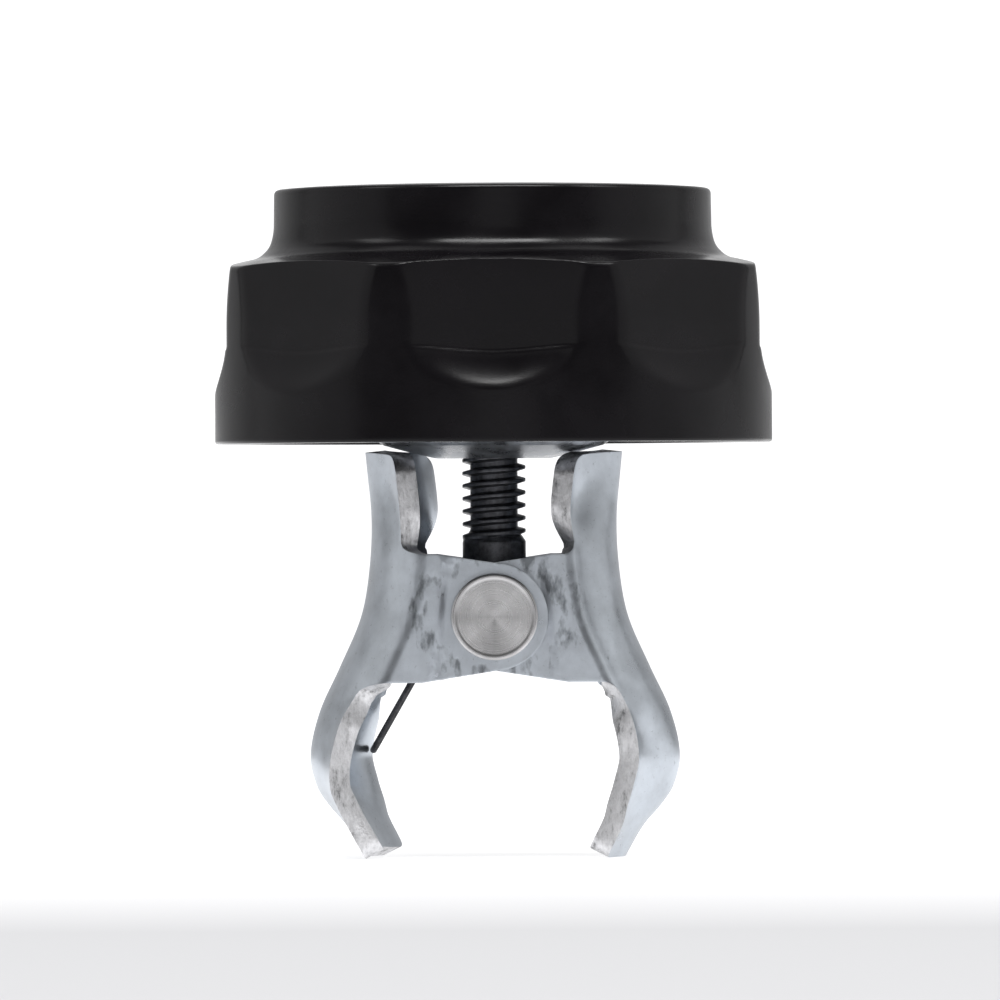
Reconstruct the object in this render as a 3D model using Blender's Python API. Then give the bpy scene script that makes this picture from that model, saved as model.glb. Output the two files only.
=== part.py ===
"""Hand-knob bar clamp: two pressed steel jaws on one rivet, spread by a domed
washer under a moulded hand knob that runs on a threaded eye stud.

Row frame: +Z up along the stud, +X across the jaws, +Y along the rivet.
The origin is the centre of the bar that the jaws grip.
"""

import math

import bmesh
import bpy
from mathutils import Vector

MM = 0.001

# ---- Driving dimensions -------------------------------------------------
PIVOT_HEIGHT = 22.0 * MM          # rivet axis above the centre of the gripped bar
KNOB_BASE_HEIGHT = 27.3 * MM      # knob's rim above the rivet axis
RUNNING_GAP = 0.3 * MM            # between faces that rest on or pass each other
BORE_GAP = 0.25 * MM              # radial, between a shaft and the hole it runs in

# Stud and its trapezoidal thread
STUD_RADIUS = 5.0 * MM
THREAD_PITCH = 2.0 * MM
THREAD_DEPTH = 1.25 * MM
THREAD_START = 11.5 * MM          # above the rivet axis
STUD_TOP = 57.2 * MM              # above the rivet axis
EYE_WALL = 4.45 * MM
EYE_THICKNESS = 8.0 * MM
THREAD_STEPS = 12                 # flats per turn

# Rivet
RIVET_RADIUS = 3.5 * MM
RIVET_HEAD_RADIUS = RIVET_RADIUS + 3.3 * MM
RIVET_HEAD_HEIGHT = 2.2 * MM
RIVET_HEAD_EDGE = 0.5 * MM
TAIL_WASHER_RADIUS = RIVET_RADIUS + 3.3 * MM
TAIL_WASHER_THICKNESS = 1.2 * MM
TAIL_HEAD_RADIUS = RIVET_RADIUS + 1.7 * MM
TAIL_HEAD_HEIGHT = 1.6 * MM
EYE_RADIUS = RIVET_RADIUS + BORE_GAP + EYE_WALL

# Torsion spring on the sleeve beside the eye
WIRE_RADIUS = 0.55 * MM
SPRING_TURNS = 2
SPRING_PITCH = 1.2 * MM
SPRING_SPACE = SPRING_TURNS * SPRING_PITCH + 0.7 * MM
SLEEVE_WALL = 1.4 * MM
SPRING_RADIUS = RIVET_RADIUS + BORE_GAP + SLEEVE_WALL + WIRE_RADIUS + 0.5 * MM  # wire's centreline
LEG_END_HEIGHT = -21.216 * MM     # the left leg's end, from the rivet axis
LEG_END_REACH = 23.045 * MM       # how far out its outer side would reach if the strip had no thickness
LEFT_HOOK = 3.0 * MM              # the left leg's end, bent back along the rivet's direction
RIGHT_LEG = 13.0 * MM
RIGHT_LEG_ANGLE = 20.0
SHANK_FOOT = SPRING_RADIUS + WIRE_RADIUS + RUNNING_GAP  # stud's round shank, above the rivet axis

# Jaws: one pressing, used twice, the second turned half a turn about the stud
SHEET = 3.2 * MM
# Outer faces of the inner and the outer ear, from the centre plane
INNER_EAR = EYE_THICKNESS / 2 + SPRING_SPACE + 2 * RUNNING_GAP + SHEET
OUTER_EAR = INNER_EAR + RUNNING_GAP + SHEET
OUTER_EDGE = OUTER_EAR - 2.0 * MM  # half-depth of the strip on the outer ear's side
INNER_EDGE = INNER_EAR - 0.4 * MM  # half-depth of the strip on the inner ear's side
EAR_END_RADIUS = EYE_RADIUS + 0.2 * MM
EAR_TOP = 9.8 * MM                # above the rivet axis
EAR_BOTTOM = -10.3 * MM
EAR_TOP_SLOPE = 8.5 * MM          # where the ear's top edge starts to slope, from the rivet axis
EAR_BOTTOM_SLOPE = 11.0 * MM      # the same for its bottom edge
EAR_BLEND = 5.0 * MM              # length over which the bead runs into the ear's bend
OUTER_WRAP = 4.8 * MM             # how far the strip's edge is drawn in beside the outer ear
INNER_WRAP = 6.8 * MM             # the same beside the inner ear
EDGE_FLATTEN = 0.95               # share of a half wave in the bead's section
JAW_TOP = KNOB_BASE_HEIGHT - 2.1 * MM
JAW_CORNER = 3.0 * MM             # chamfer on the strip's top corners
# The bead's crest, and how far the strip's two edges lie inside it:
# (height over the rivet axis, crest from the stud axis, outer-side edge, inner-side edge)
JAW_LINE = [
    (JAW_TOP / MM, 20.3, 4.6, 7.4),
    (16.0, 19.4, 4.6, 7.4),
    (8.0, 19.7, 4.8, 6.8),
    (0.0, 21.1, 4.8, 6.8),
    (-8.0, 24.5, 4.8, 6.8),
    (-15.0, 27.7, 4.0, 6.5),
    (-22.0, 29.2, 3.4, 6.6),
    (-27.0, 28.1, 2.2, 6.5),
    (-30.0, 26.1, 1.4, 5.4),
    (-33.0, 23.5, 0.3, 3.6),
    (-38.0, 20.5, 0.1, 3.1),
]
JAW_ROWS = 34
BEND_COLUMNS = 7
EAR_COLUMNS = 5

# Thrust washer and slip washer
DISH_RADIUS = 18.6 * MM
DISH_FLAT = 9.0 * MM
DISH_SHEET = 2.0 * MM
DISH_DROP = 2.4 * MM              # lowest face below the knob's rim
DISH_LIFT = 2.4 * MM              # rim of the dish above its flat
DISH_POWER = 1.1                  # how the lift grows towards the rim
SLIP_THICKNESS = 0.8 * MM
SLIP_RADIUS = 8.6 * MM

# Knob
LOBES = 8
KNOB_RADIUS = 44.0 * MM
KNOB_LAND_TOP_RADIUS = 43.85 * MM
FACET_TOP = 41.3 * MM             # facet's distance from the axis at the shoulder
FACET_FOOT = 41.85 * MM
FACET_FOOT_Z = 14.9 * MM
FACET_RUNOUT_Z = 8.2 * MM         # lowest point of the hollow below each facet
SHOULDER_Z = 27.8 * MM
SHOULDER_RADIUS = 39.4 * MM
SHOULDER_RISE = 1.1 * MM
CROWN_RADIUS = 34.5 * MM
CROWN_FOOT_Z = 32.9 * MM
CROWN_TOP_Z = 40.1 * MM
KNOB_WALL = 3.0 * MM
RIBS = 20
RIB = 2.2 * MM
BOSS_RADIUS = 14.5 * MM
BOSS_NOSE_RADIUS = 9.0 * MM
RIM_RECESS = 3.2 * MM             # ribs stop this far above the rim
KNOB_FLOOR = 3.0 * MM             # skin between the pockets and the top
KNOB_STEPS = 80

# Nut, its retaining ring, the stop clip and the cap
NUT_FLATS = 17.0 * MM
NUT_HEIGHT = 10.0 * MM
NUT_SEAT_Z = 12.0 * MM            # above the knob's rim
WELL_RADIUS = 12.0 * MM
RING_THICKNESS = 0.8 * MM
CLIP_THICKNESS = 1.2 * MM
CLIP_RADIUS = STUD_RADIUS + 2.0 * MM
GROOVE_DEPTH = 1.6 * MM
CLIP_FROM_TOP = 2.5 * MM
CAP_RADIUS = 32.6 * MM
CAP_SEAT_Z = 37.9 * MM            # above the knob's rim
CAP_DOME = 0.6 * MM
CAP_PEG_RADIUS = 2.0 * MM
CAP_PEG_LENGTH = 5.0 * MM
CAP_PEGS = 4
CAP_PEG_CIRCLE = 26.0 * MM

KNOB_Z = PIVOT_HEIGHT + KNOB_BASE_HEIGHT

COLOURS = {
    "black_moulding": ((0.012, 0.012, 0.014, 1), 0.45, 0.0),
    "zinc_plate": ((0.62, 0.65, 0.68, 1), 0.32, 1.0),
    "bright_steel": ((0.66, 0.66, 0.66, 1), 0.28, 1.0),
    "black_oxide": ((0.03, 0.03, 0.032, 1), 0.42, 1.0),
    "spring_steel": ((0.12, 0.12, 0.12, 1), 0.35, 1.0),
    "nylon": ((0.75, 0.73, 0.66, 1), 0.5, 0.0),
}


# ---- Helpers ------------------------------------------------------------
def clear_scene():
    for obj in list(bpy.data.objects):
        bpy.data.objects.remove(obj, do_unlink=True)


def material(name):
    """A Principled material from the table of finishes."""
    found = bpy.data.materials.get(name)
    if found:
        return found
    colour, roughness, metallic = COLOURS[name]
    made = bpy.data.materials.new(name)
    made.use_nodes = True
    shader = made.node_tree.nodes["Principled BSDF"]
    shader.inputs["Base Color"].default_value = colour
    shader.inputs["Roughness"].default_value = roughness
    shader.inputs["Metallic"].default_value = metallic
    return made


def solid(name, bm, finish, place=(0, 0, 0), parent=None):
    """A named object from a bmesh, with its normals facing out."""
    bmesh.ops.remove_doubles(bm, verts=bm.verts, dist=1e-7)
    bmesh.ops.recalc_face_normals(bm, faces=bm.faces)
    mesh = bpy.data.meshes.new(name)
    bm.to_mesh(mesh)
    bm.free()
    obj = bpy.data.objects.new(name, mesh)
    bpy.context.scene.collection.objects.link(obj)
    obj.location = place
    obj.parent = parent
    if finish:
        mesh.materials.append(material(finish))
        mesh.shade_smooth()
        mesh.set_sharp_from_angle(angle=math.radians(35))
    else:
        obj.hide_render = True
        obj.display_type = "WIRE"
    return obj


def cut(target, cutter, operation="DIFFERENCE"):
    step = target.modifiers.new(f"{operation.lower()}_{cutter.name}", "BOOLEAN")
    step.operation = operation
    step.object = cutter
    step.solver = "EXACT"


def turned(profile, steps=48):
    """A bmesh of a closed outline of (radius, height) points turned about Z."""
    bm = bmesh.new()
    ring = [bm.verts.new((r, 0, z)) for r, z in profile]
    edges = [bm.edges.new((a, b)) for a, b in zip(ring, ring[1:] + ring[:1])]
    bmesh.ops.spin(
        bm, geom=ring + edges, cent=(0, 0, 0), axis=(0, 0, 1),
        angle=2 * math.pi, steps=steps, use_merge=True,
    )
    bmesh.ops.remove_doubles(bm, verts=bm.verts, dist=1e-7)
    bmesh.ops.dissolve_degenerate(bm, dist=1e-7, edges=bm.edges)
    return bm


def disc(radius, bore, low, high, steps=48):
    """A flat ring between two heights."""
    return turned([(bore, low), (radius, low), (radius, high), (bore, high)], steps)


def prism(outline, low, high, axis="Z"):
    """A bmesh of an outline of two coordinates, extruded from low to high along Z or Y."""
    bm = bmesh.new()
    base = [bm.verts.new((a, b, low) if axis == "Z" else (a, low, b)) for a, b in outline]
    face = bm.faces.new(base)
    grown = bmesh.ops.extrude_face_region(bm, geom=[face])
    top = [v for v in grown["geom"] if isinstance(v, bmesh.types.BMVert)]
    step = Vector((0, 0, high - low)) if axis == "Z" else Vector((0, high - low, 0))
    bmesh.ops.translate(bm, verts=top, vec=step)
    return bm


def arc(centre, radius, start, end, steps):
    """Points on a circle, angles in degrees."""
    for i in range(steps + 1):
        a = math.radians(start + (end - start) * i / steps)
        yield (centre[0] + radius * math.cos(a), centre[1] + radius * math.sin(a))


def smooth(t):
    t = min(max(t, 0.0), 1.0)
    return t * t * (3 - 2 * t)


# ---- Jaws ---------------------------------------------------------------
def jaw_line(z):
    """Crest, outer-side wrap and inner-side wrap at a height over the rivet axis, by cubic interpolation."""
    rows = [[v * MM for v in row] for row in JAW_LINE]
    i = next((k for k in range(len(rows) - 2) if z >= rows[k + 1][0]), len(rows) - 2)
    p = [rows[max(i - 1, 0)], rows[i], rows[i + 1], rows[min(i + 2, len(rows) - 1)]]
    span = p[2][0] - p[1][0]
    t = (z - p[1][0]) / span
    values = []
    for k in (1, 2, 3):
        left = (p[2][k] - p[0][k]) / (p[2][0] - p[0][0]) * span
        right = (p[3][k] - p[1][k]) / (p[3][0] - p[1][0]) * span
        values.append(
            (2 * t**3 - 3 * t**2 + 1) * p[1][k] + (t**3 - 2 * t**2 + t) * left
            + (3 * t**2 - 2 * t**3) * p[2][k] + (t**3 - t**2) * right
        )
    return values


def strip_point(u, z, wrap, edge, ear_wrap):
    """(depth, distance inside the crest) of the strip at a share u of its half-width."""
    wave = math.pi * EDGE_FLATTEN
    bead = (edge * u, wrap * (1 - math.cos(wave * u)) / (1 - math.cos(wave)))
    angle = 2 * math.atan2(ear_wrap, edge)
    radius = edge / math.sin(angle)
    bend = (radius * math.sin(angle * u), radius * (1 - math.cos(angle * u)))
    away = max(z - EAR_TOP, EAR_BOTTOM - z, 0.0)
    weight = smooth(1 - away / EAR_BLEND)
    return [a + (b - a) * weight for a, b in zip(bead, bend)]


def ear_point(k, crest, edge, ear_wrap, ear_face):
    """(depth, distance inside the crest) of column k of the ear, past the strip's edge."""
    angle = 2 * math.atan2(ear_wrap, edge)
    radius = (ear_face - edge) / (1 - math.sin(angle))
    bend_end = ear_wrap + radius * math.cos(angle)
    if k <= 3:
        a = angle + (math.pi / 2 - angle) * k / 3
        return (
            edge + radius * (math.sin(a) - math.sin(angle)),
            ear_wrap + radius * (math.cos(angle) - math.cos(a)),
        )
    far = crest + EAR_END_RADIUS
    return ear_face, bend_end + (far - bend_end) * (k - 3) / (EAR_COLUMNS - 3)


def jaw_heights():
    """Row heights, with rows exactly at the ears' edges and at the top chamfer."""
    top, foot = JAW_LINE[0][0] * MM, JAW_LINE[-1][0] * MM
    fixed = {top, top - JAW_CORNER, EAR_TOP, EAR_BOTTOM, foot}
    pitch = (top - foot) / JAW_ROWS
    free = [top - pitch * i for i in range(1, JAW_ROWS)]
    free = [z for z in free if all(abs(z - f) > 0.6 * pitch for f in fixed)]
    return sorted(fixed | set(free), reverse=True)


def jaw_sides():
    """For each side of the strip: its sign in Y, half-depth, wrap beside the ear and ear face."""
    return {
        "outer": (-1, OUTER_EDGE, OUTER_WRAP, OUTER_EAR),
        "inner": (1, INNER_EDGE, INNER_WRAP, INNER_EAR),
    }


def jaw_surface():
    """The pressing's outer surface as a bmesh: the beaded strip and, between the notches, its two ears."""
    bm = bmesh.new()
    heights = jaw_heights()
    crest_line = []
    for z in heights:
        crest_line.append(bm.verts.new((-jaw_line(z)[0], 0, z)))
    for side, (sign, edge, ear_wrap, ear_face) in jaw_sides().items():
        columns = [crest_line]
        for j in range(1, BEND_COLUMNS + 1):
            column = []
            for z in heights:
                crest, outer_wrap, inner_wrap = jaw_line(z)
                wrap = outer_wrap if side == "outer" else inner_wrap
                y, d = strip_point(j / BEND_COLUMNS, z, wrap, edge, ear_wrap)
                column.append(bm.verts.new((-crest + d, sign * y, z)))
            columns.append(column)
        for k in range(1, EAR_COLUMNS + 1):
            column = []
            for z in heights:
                crest = jaw_line(z)[0]
                y, d = ear_point(k, crest, edge, ear_wrap, ear_face)
                within = EAR_BOTTOM - 1e-6 <= z <= EAR_TOP + 1e-6
                column.append(bm.verts.new((-crest + d, sign * y, z)) if within else None)
            columns.append(column)
        for a, b in zip(columns, columns[1:]):
            for i in range(len(heights) - 1):
                corners = [a[i], b[i], b[i + 1], a[i + 1]]
                if None in corners:
                    continue
                bm.faces.new(corners if sign > 0 else corners[::-1])
    bmesh.ops.recalc_face_normals(bm, faces=bm.faces)
    return bm


def tangent_from(point, radius, turn):
    """Angle, in degrees, where a line from the point touches a circle about the origin."""
    reach = math.hypot(*point)
    return math.degrees(math.atan2(point[1], point[0]) + turn * math.acos(radius / reach))


def ear_trimmer(name, sign, ear_face):
    """The waste round an ear's rounded end: a C-shaped block."""
    spare = 0.4 * MM
    top = (-EAR_TOP_SLOPE, EAR_TOP + spare)
    foot = (-EAR_BOTTOM_SLOPE, EAR_BOTTOM - spare)
    start = tangent_from(top, EAR_END_RADIUS, -1)
    end = tangent_from(foot, EAR_END_RADIUS, 1)
    span = 40 * MM
    outline = [top, *arc((0, 0), EAR_END_RADIUS, start, end, 18), foot]
    outline += [(foot[0], -span), (span, -span), (span, span), (top[0], span)]
    low, high = sorted((sign * (ear_face - SHEET - spare), sign * (ear_face + spare)))
    return solid(name, prism(outline, low, high, "Y"), None)


def corner_trimmer(name, sign, edge):
    """The waste at a top corner of the strip."""
    top = JAW_LINE[0][0] * MM
    outline = [
        (edge - JAW_CORNER, top + JAW_CORNER),
        (edge - JAW_CORNER, top),
        (edge + JAW_CORNER, top - 2 * JAW_CORNER),
        (edge + JAW_CORNER, top + JAW_CORNER),
    ]
    bm = prism(outline, -40 * MM, 0, "Z")
    # Stand the block on edge: outline X to row Y, outline Y to row Z, its length along X.
    for v in bm.verts:
        v.co = Vector((v.co.z, sign * v.co.x, v.co.y))
    return solid(name, bm, None)


def make_jaw(name, turn, pivot):
    """One jaw; turn is 0 for the left one and 180 for the right one."""
    surface = solid(name, jaw_surface(), "zinc_plate")
    bm = bmesh.new()
    bm.from_mesh(surface.data)
    middle = min(bm.faces, key=lambda f: f.calc_center_median().length_squared)
    if middle.normal.x > 0:
        bmesh.ops.reverse_faces(bm, faces=bm.faces)
    bm.to_mesh(surface.data)
    bm.free()
    wall = surface.modifiers.new("sheet", "SOLIDIFY")
    wall.thickness = SHEET
    wall.offset = -1
    wall.use_even_offset = True
    for side, (sign, edge, _, ear_face) in jaw_sides().items():
        waste = ear_trimmer(f"{name}_{side}_ear_waste", sign, ear_face)
        corner = corner_trimmer(f"{name}_{side}_corner_waste", sign, edge)
        for cutter in (waste, corner):
            cutter.parent = surface
            cut(surface, cutter)
    hole = solid(f"{name}_hole", disc_solid(RIVET_RADIUS + BORE_GAP, -40 * MM, 40 * MM, 32), None)
    hole.rotation_euler = (math.radians(90), 0, 0)
    hole.parent = surface
    cut(surface, hole)
    surface.parent = pivot
    surface.rotation_euler = (0, 0, math.radians(turn))
    return surface


# ---- Stud ---------------------------------------------------------------
def thread_bmesh(low, high):
    """A trapezoidal right-hand thread from low to high, closed to the axis at both ends."""
    bm = bmesh.new()
    root = STUD_RADIUS - THREAD_DEPTH
    section = [(root, 0.0), (root, 0.37), (STUD_RADIUS, 0.52), (STUD_RADIUS, 0.85)]
    turns = math.ceil((high - low) / THREAD_PITCH) + 1
    rings = []
    for k in range(THREAD_STEPS + 1):
        a = 2 * math.pi * k / THREAD_STEPS
        ring = []
        for i in range(turns * len(section) + 1):
            radius, share = section[i % len(section)]
            z = low + THREAD_PITCH * (i // len(section) + share + k / THREAD_STEPS)
            ring.append(bm.verts.new((radius * math.cos(a), radius * math.sin(a), z)))
        rings.append(ring)
    for a, b in zip(rings, rings[1:]):
        for i in range(len(a) - 1):
            bm.faces.new((a[i], b[i], b[i + 1], a[i + 1]))
    for end, flip in ((0, True), (-1, False)):
        hub = bm.verts.new((0, 0, rings[0][end].co.z))
        for a, b in zip(rings, rings[1:]):
            bm.faces.new((hub, b[end], a[end]) if flip else (hub, a[end], b[end]))
        size = len(section)
        step = rings[0][: size + 1] if end == 0 else rings[-1][-size - 1:]
        bm.faces.new([hub, *step] if flip else [hub, *reversed(step)])
    return bm


def make_stud():
    """The threaded eye stud and the stop clip in its groove."""
    shank_low = PIVOT_HEIGHT + SHANK_FOOT
    thread_low = PIVOT_HEIGHT + THREAD_START
    top = PIVOT_HEIGHT + STUD_TOP
    chamfer = THREAD_DEPTH
    stud = solid("eye_stud", turned([
        (0, shank_low), (STUD_RADIUS, shank_low), (STUD_RADIUS, thread_low),
        (STUD_RADIUS - THREAD_DEPTH / 2, thread_low + 0.4 * MM), (0, thread_low + 0.4 * MM),
    ], 32), "black_oxide")
    thread = solid("thread_form", thread_bmesh(thread_low - 2 * THREAD_PITCH, top), None)
    envelope = solid("thread_envelope", turned([
        (0, thread_low - MM), (STUD_RADIUS - 0.7 * MM, thread_low - MM),
        (STUD_RADIUS - 0.7 * MM, thread_low), (STUD_RADIUS + MM, thread_low + 0.9 * MM),
        (STUD_RADIUS + MM, top - chamfer - MM),
        (STUD_RADIUS - chamfer, top), (0, top),
    ], 32), None)
    cut(thread, envelope, "INTERSECT")
    cut(stud, thread, "UNION")
    eye = solid("eye_form", prism(
        list(arc((0, PIVOT_HEIGHT), EYE_RADIUS, 0, 360, 36))[:-1],
        -EYE_THICKNESS / 2, EYE_THICKNESS / 2, "Y"), None)
    cut(stud, eye, "UNION")
    hole = solid("eye_hole", prism(
        list(arc((0, PIVOT_HEIGHT), RIVET_RADIUS + BORE_GAP, 0, 360, 32))[:-1],
        -EYE_THICKNESS, EYE_THICKNESS, "Y"), None)
    cut(stud, hole)
    clip_z = top - CLIP_FROM_TOP
    groove = solid("clip_groove", disc(
        STUD_RADIUS + 2 * MM, STUD_RADIUS - GROOVE_DEPTH,
        clip_z - CLIP_THICKNESS - RUNNING_GAP, clip_z + RUNNING_GAP, 32), None)
    cut(stud, groove)
    clip_bore = STUD_RADIUS - GROOVE_DEPTH + BORE_GAP
    clip = open_ring(CLIP_RADIUS, clip_bore, clip_z - CLIP_THICKNESS, clip_z, 300)
    solid("stop_clip", clip, "spring_steel")


def open_ring(radius, bore, low, high, sweep):
    """A flat ring with a gap in it."""
    gap = (360 - sweep) / 2
    outline = [*arc((0, 0), radius, gap, 360 - gap, 28), *arc((0, 0), bore, 360 - gap, gap, 28)]
    return prism(outline, low, high)


# ---- Rivet, sleeves and spring -----------------------------------------
def along_rivet(obj):
    """Lays a piece that was turned about Z along the rivet, with its +Z end at -Y, the front."""
    obj.rotation_euler = (math.radians(90), 0, 0)
    obj.location = (0, 0, PIVOT_HEIGHT)
    return obj


def make_rivet():
    seat = OUTER_EAR + RUNNING_GAP
    tail = -(seat + TAIL_WASHER_THICKNESS + RUNNING_GAP)
    rivet = solid("pivot_rivet", turned([
        (0, tail - TAIL_HEAD_HEIGHT), (TAIL_HEAD_RADIUS * 0.6, tail - TAIL_HEAD_HEIGHT),
        (TAIL_HEAD_RADIUS, tail - TAIL_HEAD_HEIGHT * 0.4), (TAIL_HEAD_RADIUS, tail),
        (RIVET_RADIUS, tail), (RIVET_RADIUS, seat), (RIVET_HEAD_RADIUS, seat),
        (RIVET_HEAD_RADIUS, seat + RIVET_HEAD_HEIGHT - RIVET_HEAD_EDGE),
        (RIVET_HEAD_RADIUS - RIVET_HEAD_EDGE, seat + RIVET_HEAD_HEIGHT), (0, seat + RIVET_HEAD_HEIGHT),
    ], 40), "bright_steel")
    washer = solid("tail_washer", disc(
        TAIL_WASHER_RADIUS, RIVET_RADIUS + BORE_GAP, -seat - TAIL_WASHER_THICKNESS, -seat, 40), "zinc_plate")
    inside = INNER_EAR - SHEET - RUNNING_GAP
    eye = EYE_THICKNESS / 2 + RUNNING_GAP
    bore = RIVET_RADIUS + BORE_GAP
    front = solid("spacer_front", disc(bore + SLEEVE_WALL, bore, eye, inside, 32), "zinc_plate")
    rear = solid("spring_sleeve", disc(bore + SLEEVE_WALL, bore, -inside, -eye, 32), "zinc_plate")
    for piece in (rivet, washer, front, rear):
        along_rivet(piece)


def left_leg_end():
    """(x, z) of the left leg's end, kept inside the left strip whatever the sheet's thickness."""
    return SHEET + WIRE_RADIUS - LEG_END_REACH, LEG_END_HEIGHT


def spring_path():
    """The wire's centreline: hook, left leg, coil about the rivet, right leg. Y grows towards the back."""
    y0 = EYE_THICKNESS / 2 + RUNNING_GAP + WIRE_RADIUS + 0.1 * MM
    leg_end = left_leg_end()
    start = math.radians(tangent_from(leg_end, SPRING_RADIUS, -1) % 360)
    end = math.radians(90 - RIGHT_LEG_ANGLE)
    sweep = SPRING_TURNS * 2 * math.pi - (start - end)
    touch = Vector((SPRING_RADIUS * math.cos(start), 0, SPRING_RADIUS * math.sin(start)))
    left = Vector((leg_end[0], 0, leg_end[1])) - touch
    left_leg = left.length
    left.normalize()
    right = Vector((math.cos(math.radians(RIGHT_LEG_ANGLE)), 0, -math.sin(math.radians(RIGHT_LEG_ANGLE))))
    steps = 18 * SPRING_TURNS
    coil = []
    for i in range(steps + 1):
        a = start - sweep * i / steps
        y = y0 + SPRING_PITCH * sweep / (2 * math.pi) * i / steps
        coil.append(Vector((SPRING_RADIUS * math.cos(a), y, SPRING_RADIUS * math.sin(a))))
    tip = coil[0] + left * left_leg
    bend = 1.2 * MM
    hook = [tip + Vector((0, LEFT_HOOK, 0)), tip + Vector((0, bend, 0))]
    hook += [tip + Vector((0, bend * 0.3, 0)) - left * bend * 0.3, tip - left * bend]
    leg = [coil[0] + left * (left_leg * i / 5) for i in range(4, 0, -1)]
    return [*hook, *leg, *coil, *(coil[-1] + right * (RIGHT_LEG * i / 3) for i in range(1, 4))]


def make_spring():
    curve = bpy.data.curves.new("torsion_spring", "CURVE")
    curve.dimensions = "3D"
    line = curve.splines.new("POLY")
    points = spring_path()
    line.points.add(len(points) - 1)
    for slot, point in zip(line.points, points):
        slot.co = (*point, 1)
    curve.bevel_depth = WIRE_RADIUS
    curve.bevel_resolution = 1
    curve.use_fill_caps = True
    curve.materials.append(material("spring_steel"))
    obj = bpy.data.objects.new("torsion_spring", curve)
    bpy.context.scene.collection.objects.link(obj)
    obj.location = (0, 0, PIVOT_HEIGHT)


# ---- Washers ------------------------------------------------------------
def make_washers():
    """Thrust washer and slip washer; returns the height of the boss's face over them."""
    bore = STUD_RADIUS + BORE_GAP
    low = -DISH_DROP
    under = [(bore, low), (DISH_FLAT, low)]
    over = [(bore, low + DISH_SHEET), (DISH_FLAT - 0.6 * MM, low + DISH_SHEET)]
    for i in range(1, 7):
        share = i / 6
        r = DISH_FLAT + (DISH_RADIUS - DISH_FLAT) * share
        lift = DISH_LIFT * share**DISH_POWER
        under.append((r, low + lift))
        over.append((r - 0.6 * MM * (1 - share), low + DISH_SHEET + lift))
    solid("thrust_washer", turned(under + over[::-1], 48), "zinc_plate", (0, 0, KNOB_Z))
    slip_low = low + DISH_SHEET + RUNNING_GAP
    slip_top = slip_low + SLIP_THICKNESS
    solid("slip_washer", disc(SLIP_RADIUS, bore, slip_low, slip_top, 40), "nylon", (0, 0, KNOB_Z))
    return slip_top + RUNNING_GAP


# ---- Knob ---------------------------------------------------------------
def knob_profile(boss_face, well_floor):
    """The turned outline before facets and pockets are cut: bore, underside, outside, cap seat, clip well."""
    cove = []
    drop = CROWN_FOOT_Z - (SHOULDER_Z + SHOULDER_RISE)
    out = SHOULDER_RADIUS - CROWN_RADIUS
    for i in range(6):
        a = math.radians(90 * i / 5)
        cove.append((SHOULDER_RADIUS - out * math.sin(a), CROWN_FOOT_Z - drop * math.cos(a)))
    edge = 0.7 * MM
    bore = STUD_RADIUS + BORE_GAP
    pocket_edge = FACET_TOP - KNOB_WALL
    seat = CAP_RADIUS + RUNNING_GAP
    return [
        (bore, boss_face), (BOSS_NOSE_RADIUS, boss_face), (BOSS_NOSE_RADIUS, RIM_RECESS),
        (pocket_edge, RIM_RECESS), (pocket_edge, 0), (KNOB_RADIUS - edge / 2, 0), (KNOB_RADIUS, edge / 2),
        (KNOB_RADIUS, FACET_RUNOUT_Z - MM),
        (KNOB_LAND_TOP_RADIUS, SHOULDER_Z - edge), (KNOB_LAND_TOP_RADIUS - edge, SHOULDER_Z),
        *cove, (CROWN_RADIUS, CROWN_TOP_Z - edge), (CROWN_RADIUS - edge, CROWN_TOP_Z),
        (seat, CROWN_TOP_Z), (seat, CAP_SEAT_Z), (WELL_RADIUS, CAP_SEAT_Z), (WELL_RADIUS, well_floor),
        (bore, well_floor),
    ]


def facet_cutter(index):
    """The waste of one finger facet: flat down to its foot, then running out to the rim's radius."""
    out = KNOB_RADIUS + 6 * MM
    reach, fall = KNOB_RADIUS + 0.1 * MM - FACET_FOOT, FACET_FOOT_Z - FACET_RUNOUT_Z
    runout = [
        (FACET_FOOT + reach * (0.4 * s + 0.6 * s * s), FACET_FOOT_Z - fall * s) for s in (0.33, 0.67, 1.0)
    ]
    outline = [(FACET_TOP, SHOULDER_Z + 4 * MM), (FACET_FOOT, FACET_FOOT_Z), *runout,
               (out, FACET_RUNOUT_Z), (out, SHOULDER_Z + 4 * MM)]
    cutter = solid(f"facet_{index}", prism(outline, -22 * MM, 22 * MM, "Y"), None)
    cutter.rotation_euler = (0, 0, 2 * math.pi * (index + 0.5) / LOBES - math.pi / LOBES)
    return cutter


def pocket_outline(inner, outer, rib, index):
    """One sector between two radial ribs."""
    middle = 360 * (index + 0.5) / RIBS
    half = 180 / RIBS
    far = half - math.degrees(math.asin(rib / 2 / outer))
    near = half - math.degrees(math.asin(rib / 2 / inner))
    outside = arc((0, 0), outer, middle - far, middle + far, 3)
    inside = arc((0, 0), inner, middle + near, middle - near, 2)
    return [*outside, *inside]


def hexagon(flats):
    return list(arc((0, 0), flats / math.sqrt(3), 0, 360, 6))[:-1]


def peg_places():
    """Centres of the cap's pegs, in the middles of pockets."""
    for index in range(CAP_PEGS):
        a = 2 * math.pi * (index + 0.5) / CAP_PEGS
        yield index, (CAP_PEG_CIRCLE * math.cos(a), CAP_PEG_CIRCLE * math.sin(a), 0)


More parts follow.
